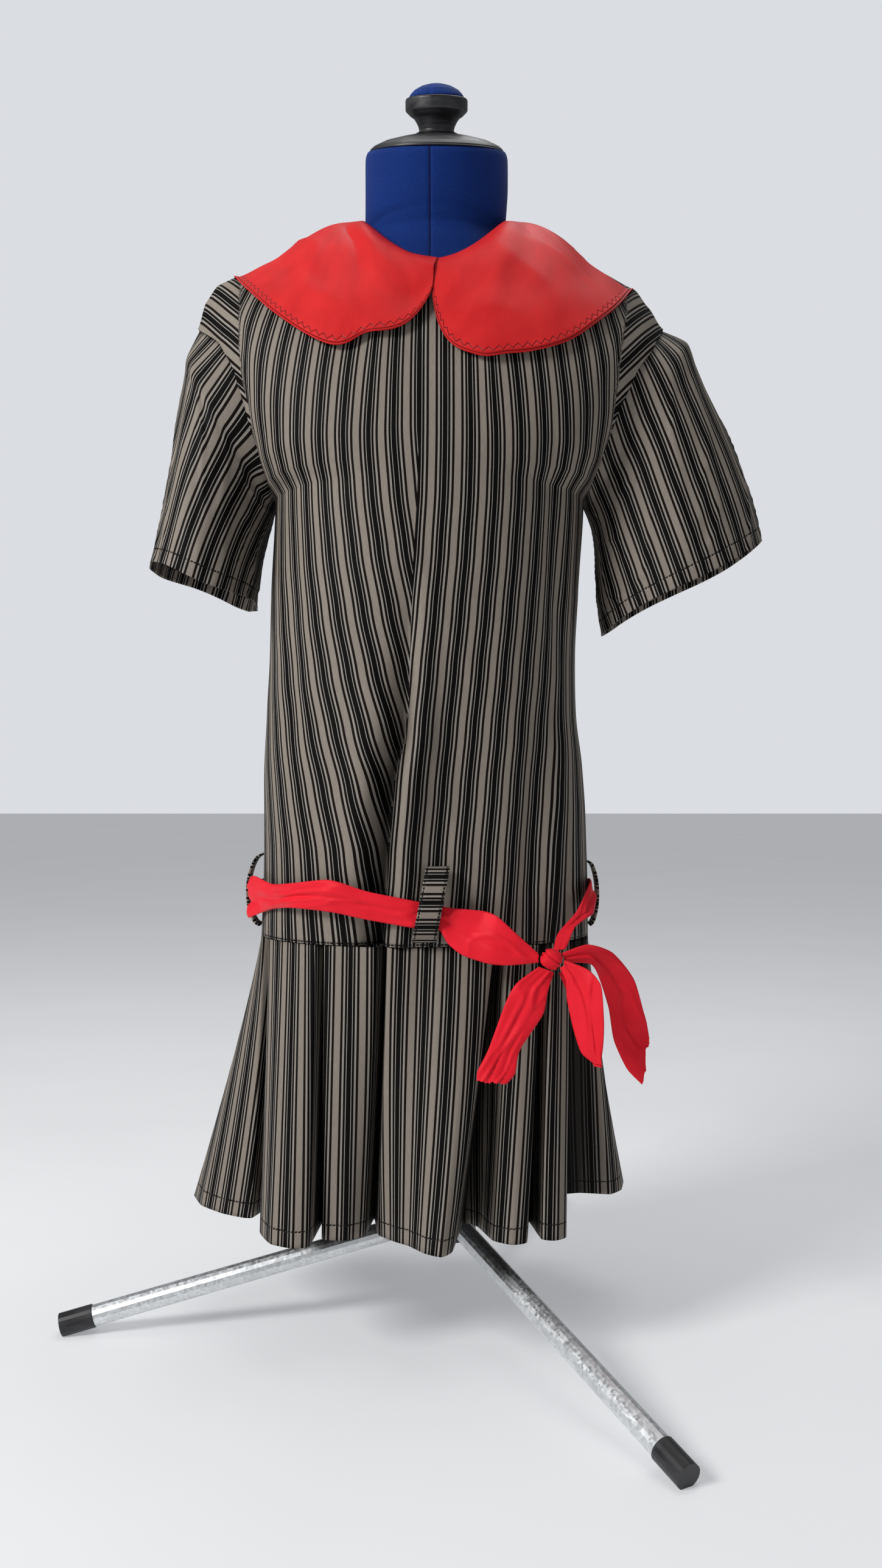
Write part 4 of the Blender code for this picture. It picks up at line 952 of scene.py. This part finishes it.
def steel_material():
    shader = Shader("steel_tube", 0.35, metallic=1.0)
    place = shader.object_place()
    patches = shader.put("ShaderNodeTexVoronoi", {"Vector": place, "Scale": 420.0}).outputs["Color"]
    tone = shader.put("ShaderNodeRGBToBW", {0: patches}).outputs[0]
    cloud = shader.noise(place, 70.0, 5.0)
    base = shader.ramp(cloud, ((0.30, (0.74, 0.76, 0.77)), (0.72, (0.86, 0.88, 0.89))))
    shade = shader.ramp(tone, ((0.0, grey(0.80)), (1.0, grey(1.10))))
    shader.colour(shader.mix(1.0, base, shade, "MULTIPLY"))
    shader.rough(shader.maths("MULTIPLY_ADD", tone, 0.24, 0.34))
    shader.bump(cloud, 0.0002, 0.5)
    return shader.material


def floor_material():
    shader = Shader("floor", 0.72, specular=0.2)
    place = shader.object_place()
    cloud = shader.noise(place, 2.2, 3.0)
    shader.colour(shader.ramp(cloud, ((0.3, grey(0.58)), (0.7, grey(0.62)))))
    shader.main.inputs["Emission Color"].default_value = DAYLIGHT
    shader.main.inputs["Emission Strength"].default_value = FLOOR_GLOW
    return shader.material


STRIPED = stripe_material()
COLLAR_SATIN = satin_material("collar_satin", (0.64, 0.020, 0.021), (0.53, 0.014, 0.016), 0.0040)
SASH_SATIN = satin_material("sash_satin", (0.84, 0.018, 0.036), (0.70, 0.013, 0.026), 0.0)
FORM_COVER = form_material()
BLACK_PLASTIC = plastic_material()
STEEL = steel_material()


def add_piece(name, rows, fabric, edge, material, wall=WALL, closed_round=False, painted_shade=None):
    """A cloth piece through rows of points. fabric and edge give each face corner's two places, and the third
    function how far it lies in a deep fold, from 0 to 1: how much painted shade darkens it there."""
    mesh = bpy.data.meshes.new(name)
    bm = bmesh.new()
    fabric_layer = bm.loops.layers.uv.new("fabric")
    edge_layer = bm.loops.layers.uv.new("edge")
    # This layer carries painted shade: how much a deep fold darkens the cloth
    painted_shade_layer = bm.loops.layers.uv.new("painted_shade")
    verts = [[bm.verts.new(point + SHIFT) for point in row] for row in rows]
    wide = len(rows[0])
    for j in range(len(rows) - 1):
        for i in range(wide if closed_round else wide - 1):
            k = (i + 1) % wide
            face = bm.faces.new((verts[j][i], verts[j][k], verts[j + 1][k], verts[j + 1][i]))
            corners = ((j, i), (j, i + 1), (j + 1, i + 1), (j + 1, i))
            for loop, (row, column) in zip(face.loops, corners):
                loop[fabric_layer].uv = fabric(row, column, i)
                loop[edge_layer].uv = edge(row, column, i)
                loop[painted_shade_layer].uv = (painted_shade(row, column) if painted_shade else 0.0, 0.0)
    bm.to_mesh(mesh)
    bm.free()
    mesh.shade_smooth()
    piece = bpy.data.objects.new(name + "_cloth", mesh)
    bpy.context.scene.collection.objects.link(piece)
    mesh.materials.append(material)
    if wall:
        shell = piece.modifiers.new("wall", "SOLIDIFY")
        shell.thickness = wall
        shell.offset = 0.0
    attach(piece, "root")
    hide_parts(name)
    return piece


def lengths_along(points):
    """Running length along a line of points."""
    total = [0.0]
    for a, b in zip(points, points[1:]):
        total.append(total[-1] + (b - a).length)
    return total


def ridged(x, y, seed):
    """Noise from 0 to 1 with sharp, wandering ridges, as pressed or pulled cloth has."""
    return (1.0 - min(abs(noise.noise(Vector((x, y, seed)))) * 3.2, 1.0)) ** 2


def relaxed(rows, inner_passes, rim_passes):
    """The grid with its kinks smoothed out: much inside, and a little along its two long edges."""
    wide = len(rows[0])
    for number in range(inner_passes):
        made = [list(row) for row in rows]
        for j in range(1, len(rows) - 1):
            for i in range(wide):
                on_rim = i in (0, wide - 1)
                if on_rim and number >= rim_passes:
                    continue
                around = rows[j - 1][i] + rows[j + 1][i]
                if on_rim:
                    made[j][i] = rows[j][i] * 0.5 + around * 0.25
                else:
                    beside = rows[j][i - 1] + rows[j][i + 1]
                    made[j][i] = rows[j][i] * 0.46 + around * 0.25 + beside * 0.02
        rows = made
    return rows


def nowhere(row, column, face):
    return (1.0, 0.0)


def make_bodice(side, across, low_rows, high_rows):
    sign = sign_of(side)
    low = DROP_SEAM_Z + SEAM_GAP - UNDERARM_Z
    rises = [low * (1.0 - j / low_rows) for j in range(low_rows)]
    rises += [1.0 - (1.0 - j / high_rows) ** YOKE_CROWD for j in range(high_rows + 1)]
    spots = [math.sin(0.5 * math.pi * (2 * i / across - 1)) for i in range(across + 1)]
    rows = [[bodice_point(side, u, rise) for u in spots] for rise in rises]
    arcs = []
    for row in rows:
        sunk = [lap_depth(point.x, point.z) if side == "front" else 0.0 for point in row]
        level = [Vector((point.x, point.y + sign * depth, point.z)) for point, depth in zip(row, sunk)]
        total = lengths_along(level)
        middle = min(range(len(row)), key=lambda i: abs(row[i].x))
        offset = total[middle] - row[middle].x
        arcs.append([length - offset for length in total])
    for row in rows:
        for u, point in zip(spots, row):
            loose = closing(u) * ease((UNDERARM_Z + 0.10 - point.z) / 0.15)
            loose *= ease((point.z - DROP_SEAM_Z) / 0.04)
            wave = noise.noise(Vector((point.x * 16.0, point.z * 4.0, 5.0 * sign)))
            crease = ridged(point.x * 22.0 + point.z * 6.0, point.z * 5.0, 3.0 * sign)
            point.y += sign * (SEAM_GAP + loose * (0.0016 * wave + 0.0011 * crease))

    def fabric(row, column, face):
        point = rows[row][column]
        s = arcs[row][column]
        if side == "back":
            return (-s, point.z)
        middle = 0.5 * (rows[row][face].x + rows[row][face + 1].x)
        left_line = between(SHOULDER_LINES["left"], LAP_COLUMNS, "z", point.z)["x"]
        right_line = between(SHOULDER_LINES["right"], LAP_COLUMNS, "z", point.z)["x"]
        if point.z > UNDERARM_Z + 0.02 and middle < left_line:
            return (0.74 * point.x + 0.67 * point.z, 0.67 * point.x - 0.74 * point.z)
        if point.z > UNDERARM_Z + 0.02 and middle > right_line:
            return (0.74 * point.x - 0.67 * point.z, 0.67 * point.x + 0.74 * point.z)
        take = between(TAKE_ROWS, TAKE_COLUMNS, "z", point.z)
        if middle < lap_x(point.z):
            share = (point.x - LEFT_EDGE_X) / (lap_x(point.z) - LEFT_EDGE_X)
            s -= take["left"] * (LEFT_DRIFT + (1.0 - LEFT_DRIFT) * min(max(share, 0.0), 1.0))
        else:
            s += take["right"] * ease((RIGHT_DRIFT_X - point.x) / 0.050)
        return (s - STRIPE_START, point.z)

    def edge(row, column, face):
        return (0.0105 + abs(rows[row][column].z - DROP_SEAM_Z), arcs[row][column])

    # Painted shade in the hollow of the lapped fold, strongest just left of its edge and below the lap's top
    def painted_shade(row, column):
        point = rows[row][column]
        if side == "back" or point.z > LAP_TOP:
            return 0.0
        away = point.x - lap_x(point.z) + 0.002
        return 0.9 * ease((LAP_TOP - 0.08 - point.z) / 0.12) * bell(away, 0.0065)

    return add_piece("bodice_" + side, rows, fabric, edge, STRIPED, painted_shade=painted_shade)


def seam_point(side, x, inset):
    """A point of the skirt's top edge, this far inside the seam."""
    row = between(BODICE_ROWS, BODICE_COLUMNS, "z", DROP_SEAM_Z)
    depth = row[side] * closing(u_across(row, x))
    point = Vector((x, sign_of(side) * depth, DROP_SEAM_Z - SEAM_GAP))
    inward = Vector((INSET_TURN * (across_row(row, 0.0) - point.x), -point.y, 0.0)).normalized()
    return point + inward * inset


def make_skirt(side, fine, down_rows):
    apart = Vector((0.0, sign_of(side) * SEAM_GAP, 0.0))
    pleats = [dict(zip(PLEAT_COLUMNS, row)) for row in PLEATS[side]]
    tops = [seam_point(side, pleat["seam_x"], pleat["inset"]) + apart for pleat in pleats]
    lows = [Vector((pleat["hem_x"], pleat["hem_y"], HEM_Z)) for pleat in pleats]
    steps = fine * (len(pleats) - 1)
    pairs = line_of([(*top, *low) for top, low in zip(tops, lows)], steps, PLEAT_SLACK)
    grooves = [k for k, pleat in enumerate(pleats) if pleat["inset"] >= GROOVE_INSET]
    rows = []
    for j in range(down_rows + 1):
        down = j / down_rows
        spread = down**SKIRT_FLARE
        ways = (spread, spread, down)
        rows.append([Vector([a + (b - a) * way for a, b, way in zip(p[:3], p[3:], ways)]) for p in pairs])
    arcs = [lengths_along(row) for row in rows]
    hem = arcs[-1]
    limits = [0] + [k * fine for k in grooves] + [len(pairs) - 1]
    centres = []
    for face in range(len(pairs) - 1):
        start = max(limit for limit in limits[:-1] if limit <= face)
        end = min(limit for limit in limits[1:] if limit > face)
        centres.append((start + end) // 2)

    def fabric(row, column, face):
        centre = centres[face]
        return (hem[centre] + arcs[row][column] - arcs[row][centre], rows[row][column].z)

    def edge(row, column, face):
        return (rows[row][column].z - HEM_Z, arcs[row][column])

    # Painted shade: the pleats' deep grooves and the cloth at the right-hand opening are painted dark, as
    # shade would make them
    sunk = [(float(k in grooves or pleat["seam_x"] == OPENING_EDGE),) for k, pleat in enumerate(pleats)]
    deep = line_of(sunk, steps, PLEAT_SLACK)

    def painted_shade(row, column):
        return min(max(deep[column][0], 0.0), 1.0)

    return add_piece("skirt_" + side, rows, fabric, edge, STRIPED, painted_shade=painted_shade)


def armhole_ring(name, around):
    """The sleeve's top ring, just outside the bodice's armhole edges, from the shoulder by the front."""
    u = hand_of(name)
    half = around // 2
    ring = []
    for i in range(around):
        side = "front" if i <= half else "back"
        turn = i / half if i <= half else 2.0 - i / half
        rise = (0.5 + 0.5 * math.cos(math.pi * turn)) ** ARMHOLE_CROWD
        point = bodice_point(side, u, rise)
        centre = Vector((point.x, 0.0, ARMHOLE_MIDDLE_Z))
        point += Vector((u * 0.9, 0.0, 0.25)).normalized() * SLEEVE_TUCK
        point -= (point - centre).normalized() * SLEEVE_START
        ring.append(point)
    return ring


def sleeve_ring(name, share, around):
    """A ring of the sleeve: share 0 is just below the armhole and 1 is the hem."""
    places = line_of(SLEEVE_ROWS[name], SLEEVE_STEPS)
    row = dict(zip(SLEEVE_COLUMNS, places[round(share * SLEEVE_STEPS)]))
    ring = []
    for angle in circle(around):
        x = row["x"] + hand_of(name) * row["half_width"] * math.cos(angle)
        y = -row["half_depth"] * math.sin(angle)
        z = row["z"] + row["fall"] * math.cos(angle)
        ring.append(Vector((x, y, z)))
    return ring


def make_sleeve(name, around=112, fine=7):
    rings = [armhole_ring(name, around)]
    rings += [sleeve_ring(name, ring / SLEEVE_RINGS, around) for ring in range(SLEEVE_RINGS + 1)]
    columns = [line_of([ring[i] for ring in rings], fine * (len(rings) - 1)) for i in range(around)]
    rows = [[Vector(columns[i][j]) for i in range(around)] for j in range(len(columns[0]))]
    half = around // 2
    hand = hand_of(name)
    first = sum(rows[0], Vector()) / around
    last = sum(rows[-1], Vector()) / around
    axis = (last - first).normalized()
    outward = Vector((-hand * axis.z, 0.0, hand * axis.x)).normalized()
    arcs = []
    for row in rows:
        flat = [point - axis * point.dot(axis) for point in row]
        total = lengths_along(flat + flat[:1])
        arcs.append([total, outward.dot(row[0])])
    falls = []
    for i in range(around):
        total = lengths_along([row[i] for row in rows])
        falls.append([total[-1] - length for length in total])
    heights = [[axis.dot(point) for point in row] for row in rows]
    for j, row in enumerate(rows):
        down = j / (len(rows) - 1)
        centre = sum(row, Vector()) / around
        for i, (point, angle) in enumerate(zip(row, circle(around))):
            away = (point - centre).normalized()
            c = math.cos(angle)
            s = math.sin(angle)
            slant = ridged(2.2 * c + 1.5 * down, 2.2 * s - 2.5 * down, 7.0 * hand)
            soft = noise.noise(Vector((3.0 * c, 3.0 * s, 2.0 * down + hand)))
            row[i] = point + away * ease(down * 3.0) * (0.0018 * slant + 0.0024 * soft)
            row[i].z += 0.0026 * down**4 * math.sin(3.0 * angle + hand)

    def fabric(row, column, face):
        total, start = arcs[row]
        if face >= half:
            return (start + total[-1] - total[column], heights[row][column % around])
        return (start - total[column], heights[row][column % around])

    def edge(row, column, face):
        return (falls[column % around][row], arcs[row][0][column])

    return add_piece(name, rows, fabric, edge, STRIPED, closed_round=True)


def make_collar(name, around=140, out_rows=34):
    edges = COLLAR_EDGES[name]
    hand = hand_of(name)
    half = around // 2
    tip = (top_u(edges["tip"]), 1.0)
    front = line_of([place_on_bodice("front", *spot) for spot in edges["front"]] + [tip], half)
    back = line_of([tip] + [place_on_bodice("back", *spot) for spot in edges["back"]], half)
    rows = []
    for i in range(around + 1):
        side = "front" if i <= half else "back"
        outer_u, outer_rise = front[i] if i <= half else back[i - half]
        turn = abs(i - half) / half
        reach = (NECK_HALF_WIDTH - COLLAR_FRONT_GAP) * math.cos(0.5 * math.pi * turn)
        inner_u = top_u(NECK_X + hand * (COLLAR_FRONT_GAP + reach))
        row = []
        for j in range(out_rows + 1):
            out = j / out_rows
            u = inner_u + (outer_u - inner_u) * out
            rise = min(1.0 + (outer_rise - 1.0) * out, 1.0)
            over = min(out * COLLAR_ROLL_SPAN + COLLAR_ROLL_START, 1.0)
            rolled = math.sin(math.pi * over) * (1.0 - turn) ** 0.5
            lift = COLLAR_LIFT + COLLAR_ROLL * rolled * (1.0 - out)
            row.append(bodice_point(side, u, rise) + bodice_normal(side, u, rise) * lift)
        rows.append(row)
    rows = relaxed(rows, *COLLAR_PASSES)
    for i, row in enumerate(rows):
        front_edge = max(1.0 - i / COLLAR_LAP_ROWS, 0.0)
        for j, point in enumerate(row):
            out = j / out_rows
            inside = math.sin(math.pi * min(out * 1.15, 1.0))
            fold = 0.0030 * noise.noise(Vector((point.x * 15.0, point.z * 15.0 + point.y * 9.0, 4.0 * hand)))
            slant = point.x * 13.0 + point.z * 9.0
            crease = 0.0016 * ridged(slant, point.z * 10.0 + point.y * 8.0, 2.0 * hand)
            rise = Vector((0.3 * hand, -0.6 if i <= half else 0.6, 0.7)).normalized()
            row[j] = point + rise * (fold + crease) * inside
            if name == "collar_left":
                row[j] += Vector((COLLAR_OVERLAP * (1.0 - 0.8 * out), -0.0016, 0.0004)) * front_edge
    outs = [lengths_along(row) for row in rows]
    rims = lengths_along([row[-1] for row in rows])

    def fabric(row, column, face):
        return (rims[row], outs[row][column])

    def edge(row, column, face):
        return (outs[row][-1] - outs[row][column], rims[row])

    return add_piece(name, rows, fabric, edge, COLLAR_SATIN, COLLAR_WALL)


def make_band(name, rows, steps, across=28):
    """A sash stretch: a band between two edges, a little rounded across, with creases along it."""
    edges = line_of(rows, steps)
    seed = float(sum(ord(letter) for letter in name))
    length = sum(lengths_along([Vector(pair[:3]) for pair in edges])[-1:])
    frayed = name in FRAYED
    grid = []
    for number, pair in enumerate(edges):
        a = Vector(pair[:3])
        b = Vector(pair[3:])
        outward = Vector((a.x + b.x, a.y + b.y, 0.0)).normalized()
        ahead = Vector(edges[min(number + 1, steps)][:3])
        forward = (ahead - Vector(edges[max(number - 1, 0)][:3])).normalized()
        along = number / steps
        row = []
        for j in range(across + 1):
            share = j / across
            point = a.lerp(b, share)
            inside = math.sin(math.pi * share) ** 0.5
            crease = ridged(along * length * 20.0 + share * 1.6, share * 1.3 - along, seed) * 0.0020
            crease += noise.noise(Vector((along * length * 45.0, share * 2.2, seed))) * 0.0012
            for start, end, from_along, to_along, depth in BAND_CREASES.get(name, ()):
                if from_along < along < to_along:
                    place = (along - from_along) / (to_along - from_along)
                    middle = start + (end - start) * place
                    grows = math.sin(math.pi * place) ** 0.5
                    crease -= 0.6 * depth * grows * bell(share - middle, 0.10)
            point += outward * (BAND_BULGE + crease) * inside
            if frayed:
                last = ease((along - 0.86) / 0.14)
                ragged = noise.noise(Vector((share * 9.0, seed, 1.0)))
                point += forward * last * 0.0030 * ragged
                if name == "bow_tail_right":
                    point -= forward * last * NOTCH * (1.0 - abs(2.0 * share - 1.0)) ** 1.5
            row.append(point)
        grid.append(row)
    along_rows = lengths_along([row[across // 2] for row in grid])

    def fabric(row, column, face):
        return ((grid[row][column] - grid[row][0]).length, along_rows[row])

    return add_piece(name, grid, fabric, nowhere, SASH_SATIN)


def make_back_belt(steps=60, across=10):
    """The sash's hidden stretch, round the back from the right side to the left one."""
    grid = []
    for i in range(steps + 1):
        u = math.cos(math.pi * i / steps)
        row = []
        for j in range(across + 1):
            z = BACK_BELT["low"] + (BACK_BELT["high"] - BACK_BELT["low"]) * j / across
            point = bodice_point("back", u, z - BACK_BELT["sag"] * (1.0 - u * u) - UNDERARM_Z)
            normal = bodice_normal("back", u, z - UNDERARM_Z)
            outward = Vector((normal.x, max(normal.y, 0.0), 0.0)).normalized()
            crease = noise.noise(Vector((i / steps * 4.0, j / across * 3.0, 2.0))) * 0.0009
            point += outward * (BACK_BELT["stand"] + crease * math.sin(math.pi * j / across))
            row.append(point + Vector((0.0, SEAM_GAP, 0.0)))
        grid.append(row)
    along = lengths_along([row[across // 2] for row in grid])

    def fabric(row, column, face):
        return (grid[row][column].z, along[row])

    return add_piece("belt_back", grid, fabric, nowhere, SASH_SATIN)


def make_knot(around=48, rings=32):
    """The tied knot: a wrapped turn of the sash, with creases that run round it."""
    turn = Matrix.Rotation(math.radians(KNOT["lean"]), 3, "Y")
    rows = []
    for j in range(rings + 1):
        polar = math.pi * (0.002 + 0.996 * j / rings)
        level = math.sin(polar)
        row = []
        for angle in circle(around):
            ball = Vector((level * math.cos(angle), level * math.sin(angle), math.cos(polar)))
            wrap = ball.z + 0.45 * ball.x
            crease = 1.0 + 0.08 * ridged(wrap * 2.2, ball.y * 1.2, 3.0)
            crease -= 0.20 * bell(wrap - 0.26, 0.11)
            crease -= 0.16 * bell(wrap + 0.34, 0.10)
            crease -= 0.18 * ease(abs(ball.x) * 2.0 - 1.0)
            point = Vector([part * radius for part, radius in zip(ball * crease, KNOT["radii"])])
            row.append(turn @ point + Vector(KNOT["at"]))
        rows.append(row)

    def fabric(row, column, face):
        return (column / around * 0.05, row / rings * 0.03)

    return add_piece("belt_knot", rows, fabric, nowhere, SASH_SATIN, 0.0, True)


def make_loop(name, steps=48, across=8):
    """A strap that leaves the cloth, passes over the sash and comes back."""
    place = dict(zip(LOOP_COLUMNS, LOOP_ROWS[name]))
    foot = Vector(place["foot"])
    head = Vector(place["head"])
    turn = Matrix.Rotation(math.radians(place["turn"]), 3, "Z")
    out = turn @ Vector((0.0, -1.0, 0.0))
    wide = turn @ Vector((1.0, 0.0, 0.0))
    grid = []
    for i in range(steps + 1):
        share = i / steps
        stand = place["out"] * max(math.sin(math.pi * share), 0.0) ** LOOP_ARC
        middle = foot.lerp(head, share) + out * (stand + LOOP_STAND)
        grid.append([middle + wide * LOOP_WIDTH * (k / across - 0.5) for k in range(across + 1)])
    along = lengths_along([row[across // 2] for row in grid])

    def fabric(row, column, face):
        return (along[row], column / across * LOOP_WIDTH)

    def edge(row, column, face):
        share = column / across
        return (HEM_STITCH - 0.0016 + min(share, 1.0 - share) * LOOP_WIDTH, along[row])

    return add_piece(name, grid, fabric, edge, STRIPED, LOOP_THICK)


def neck_tilt(z, y):
    """The neck's rings tip forward from its root to its top."""
    share = min(max((z - NECK_LEAN_ROOT) / (NECK_TOP[2] - NECK_LEAN_ROOT), 0.0), 1.0)
    return y * math.tan(math.radians(NECK_LEAN)) * share


def make_form(around=120, fine=5):
    """The form's torso and neck, with the cover's seam down the front."""
    sections = line_of(FORM_ROWS, fine * (len(FORM_ROWS) - 1))
    rows = []
    for values in sections:
        section = dict(zip(FORM_COLUMNS, values))
        root = between(ROOT_ROWS, ROOT_COLUMNS, "z", section["z"])
        power = 2.0 / section["power"]
        ring = []
        for angle in circle(around):
            across = math.copysign(abs(math.cos(angle)) ** power, math.cos(angle))
            deep = math.copysign(abs(math.sin(angle)) ** power, math.sin(angle))
            x = section["x"] + section["half_width"] * across
            out = section["half_depth"] * deep
            share = (x - root["x"]) / root["half_width"]
            if section["z"] < ROOT_TOP and abs(share) < 1.0:
                reach = root["half_depth"] * math.sqrt(1.0 - share * share)
                out = math.copysign(max(abs(out), reach), out)
            z = section["z"] + neck_tilt(section["z"], out)
            ring.append(Vector((x, section["y"] + out, z)))
        rows.append(ring)

    piece = add_piece("form_torso", rows, nowhere, nowhere, FORM_COVER, 0.0, True)
    bm = bmesh.new()
    bm.from_mesh(piece.data)
    bmesh.ops.holes_fill(bm, edges=[edge for edge in bm.edges if edge.is_boundary], sides=0)
    bmesh.ops.recalc_face_normals(bm, faces=bm.faces)
    bm.to_mesh(piece.data)
    bm.free()
    return piece


def make_turned(name, profile, material, flutes=0):
    """A turned piece on the neck's leaning axis, with its edges eased. The grip of the knob is fluted."""
    widest = max(radius for radius, _ in profile)
    place = Matrix.Translation(NECK_TOP) @ Matrix.Rotation(math.radians(NECK_LEAN), 4, "X")
    rows = []
    for radius, height in line_of(profile, 6 * (len(profile) - 1), CRISP):
        ring = []
        for angle in circle(TURNED_ROUND):
            reach = max(radius, TURNED_LEAST)
            if flutes and radius > 0.9 * widest:
                part = math.pi / flutes
                reach *= math.cos(part) / math.cos(angle % (2 * part) - part) * 0.35 + 0.65
            ring.append(place @ Vector((reach * math.cos(angle), reach * math.sin(angle), height + SEAM_GAP)))
        rows.append(ring)

    return add_piece(name, rows, nowhere, nowhere, material, 0.0, True)


def dress_solids():
    """Gives the carried-over nodes their materials."""
    finishes = {"stand_hub": BLACK_PLASTIC, "stand_pole": STEEL}
    for end in ("left", "right", "rear"):
        finishes["leg_" + end] = STEEL
        finishes["foot_" + end] = BLACK_PLASTIC
    for name, material in finishes.items():
        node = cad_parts[name]
        for slot in node.material_slots:
            slot.material = material
        if not node.material_slots:
            node.data.materials.append(material)


def make_stage():
    bpy.ops.mesh.primitive_plane_add(size=40.0, location=(0.0, 0.0, 0.0))
    floor = bpy.context.object
    floor.name = "floor"
    floor.data.materials.append(floor_material())
    world = bpy.data.worlds.new("studio")
    bpy.context.scene.world = world
    world.use_nodes = True
    sky = world.node_tree.nodes["Background"]
    sky.inputs["Color"].default_value = DAYLIGHT
    seen = world.node_tree.nodes.new("ShaderNodeLightPath").outputs["Is Camera Ray"]
    strength = world.node_tree.nodes.new("ShaderNodeMapRange")
    strength.inputs["To Min"].default_value = SKY_ON_DRESS
    strength.inputs["To Max"].default_value = SKY_SEEN
    world.node_tree.links.new(seen, strength.inputs["Value"])
    world.node_tree.links.new(strength.outputs["Result"], sky.inputs["Strength"])
    for row in LIGHTS:
        light = dict(zip(LIGHT_COLUMNS, row))
        lamp = bpy.data.lights.new(light["name"], "AREA")
        lamp.energy = light["power"]
        lamp.size = light["size"]
        thing = bpy.data.objects.new(light["name"], lamp)
        thing.location = light["spot"]
        aim = Vector(LIGHT_AIM) - Vector(light["spot"])
        thing.rotation_mode = "QUATERNION"
        thing.rotation_quaternion = aim.to_track_quat("-Z", "Y")
        bpy.context.scene.collection.objects.link(thing)


def make_camera():
    data = bpy.data.cameras.new("camera")
    data.sensor_width = 36.0
    data.lens = CAMERA_LENS
    camera = bpy.data.objects.new("camera", data)
    camera.location = Vector((0.0, -CAMERA_DISTANCE, CAMERA_HEIGHT)) + SHIFT
    camera.rotation_euler = (math.radians(90.0), 0.0, 0.0)
    bpy.context.scene.collection.objects.link(camera)
    bpy.context.scene.camera = camera
    bpy.context.scene.view_settings.view_transform = "Standard"


make_camera()
make_stage()
PIECES = {
    "bodice_front": make_bodice("front", 150, 90, 60),
    "bodice_back": make_bodice("back", 110, 70, 50),
    "skirt_front": make_skirt("front", 10, 50),
    "skirt_back": make_skirt("back", 10, 44),
}
for sleeve in SLEEVE_ROWS:
    PIECES[sleeve] = make_sleeve(sleeve)
for collar in COLLAR_EDGES:
    PIECES[collar] = make_collar(collar)
for stretch, stretch_rows in SASH_ROWS.items():
    PIECES[stretch] = make_band(stretch, stretch_rows, 10 * len(stretch_rows))
PIECES["belt_back"] = make_back_belt()
PIECES["belt_knot"] = make_knot()
for loop_name in LOOP_ROWS:
    PIECES[loop_name] = make_loop(loop_name)
make_form()
make_turned("neck_cap", CAP_PROFILE, BLACK_PLASTIC)
make_turned("knob", KNOB_PROFILE, BLACK_PLASTIC, 18)
make_turned("knob_dome", DOME_PROFILE, FORM_COVER)
dress_solids()

for sheet_name, sheet_values in SHEETS.items():
    cut = dict(zip(SHEET_COLUMNS, sheet_values))
    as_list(cut["rests_on"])
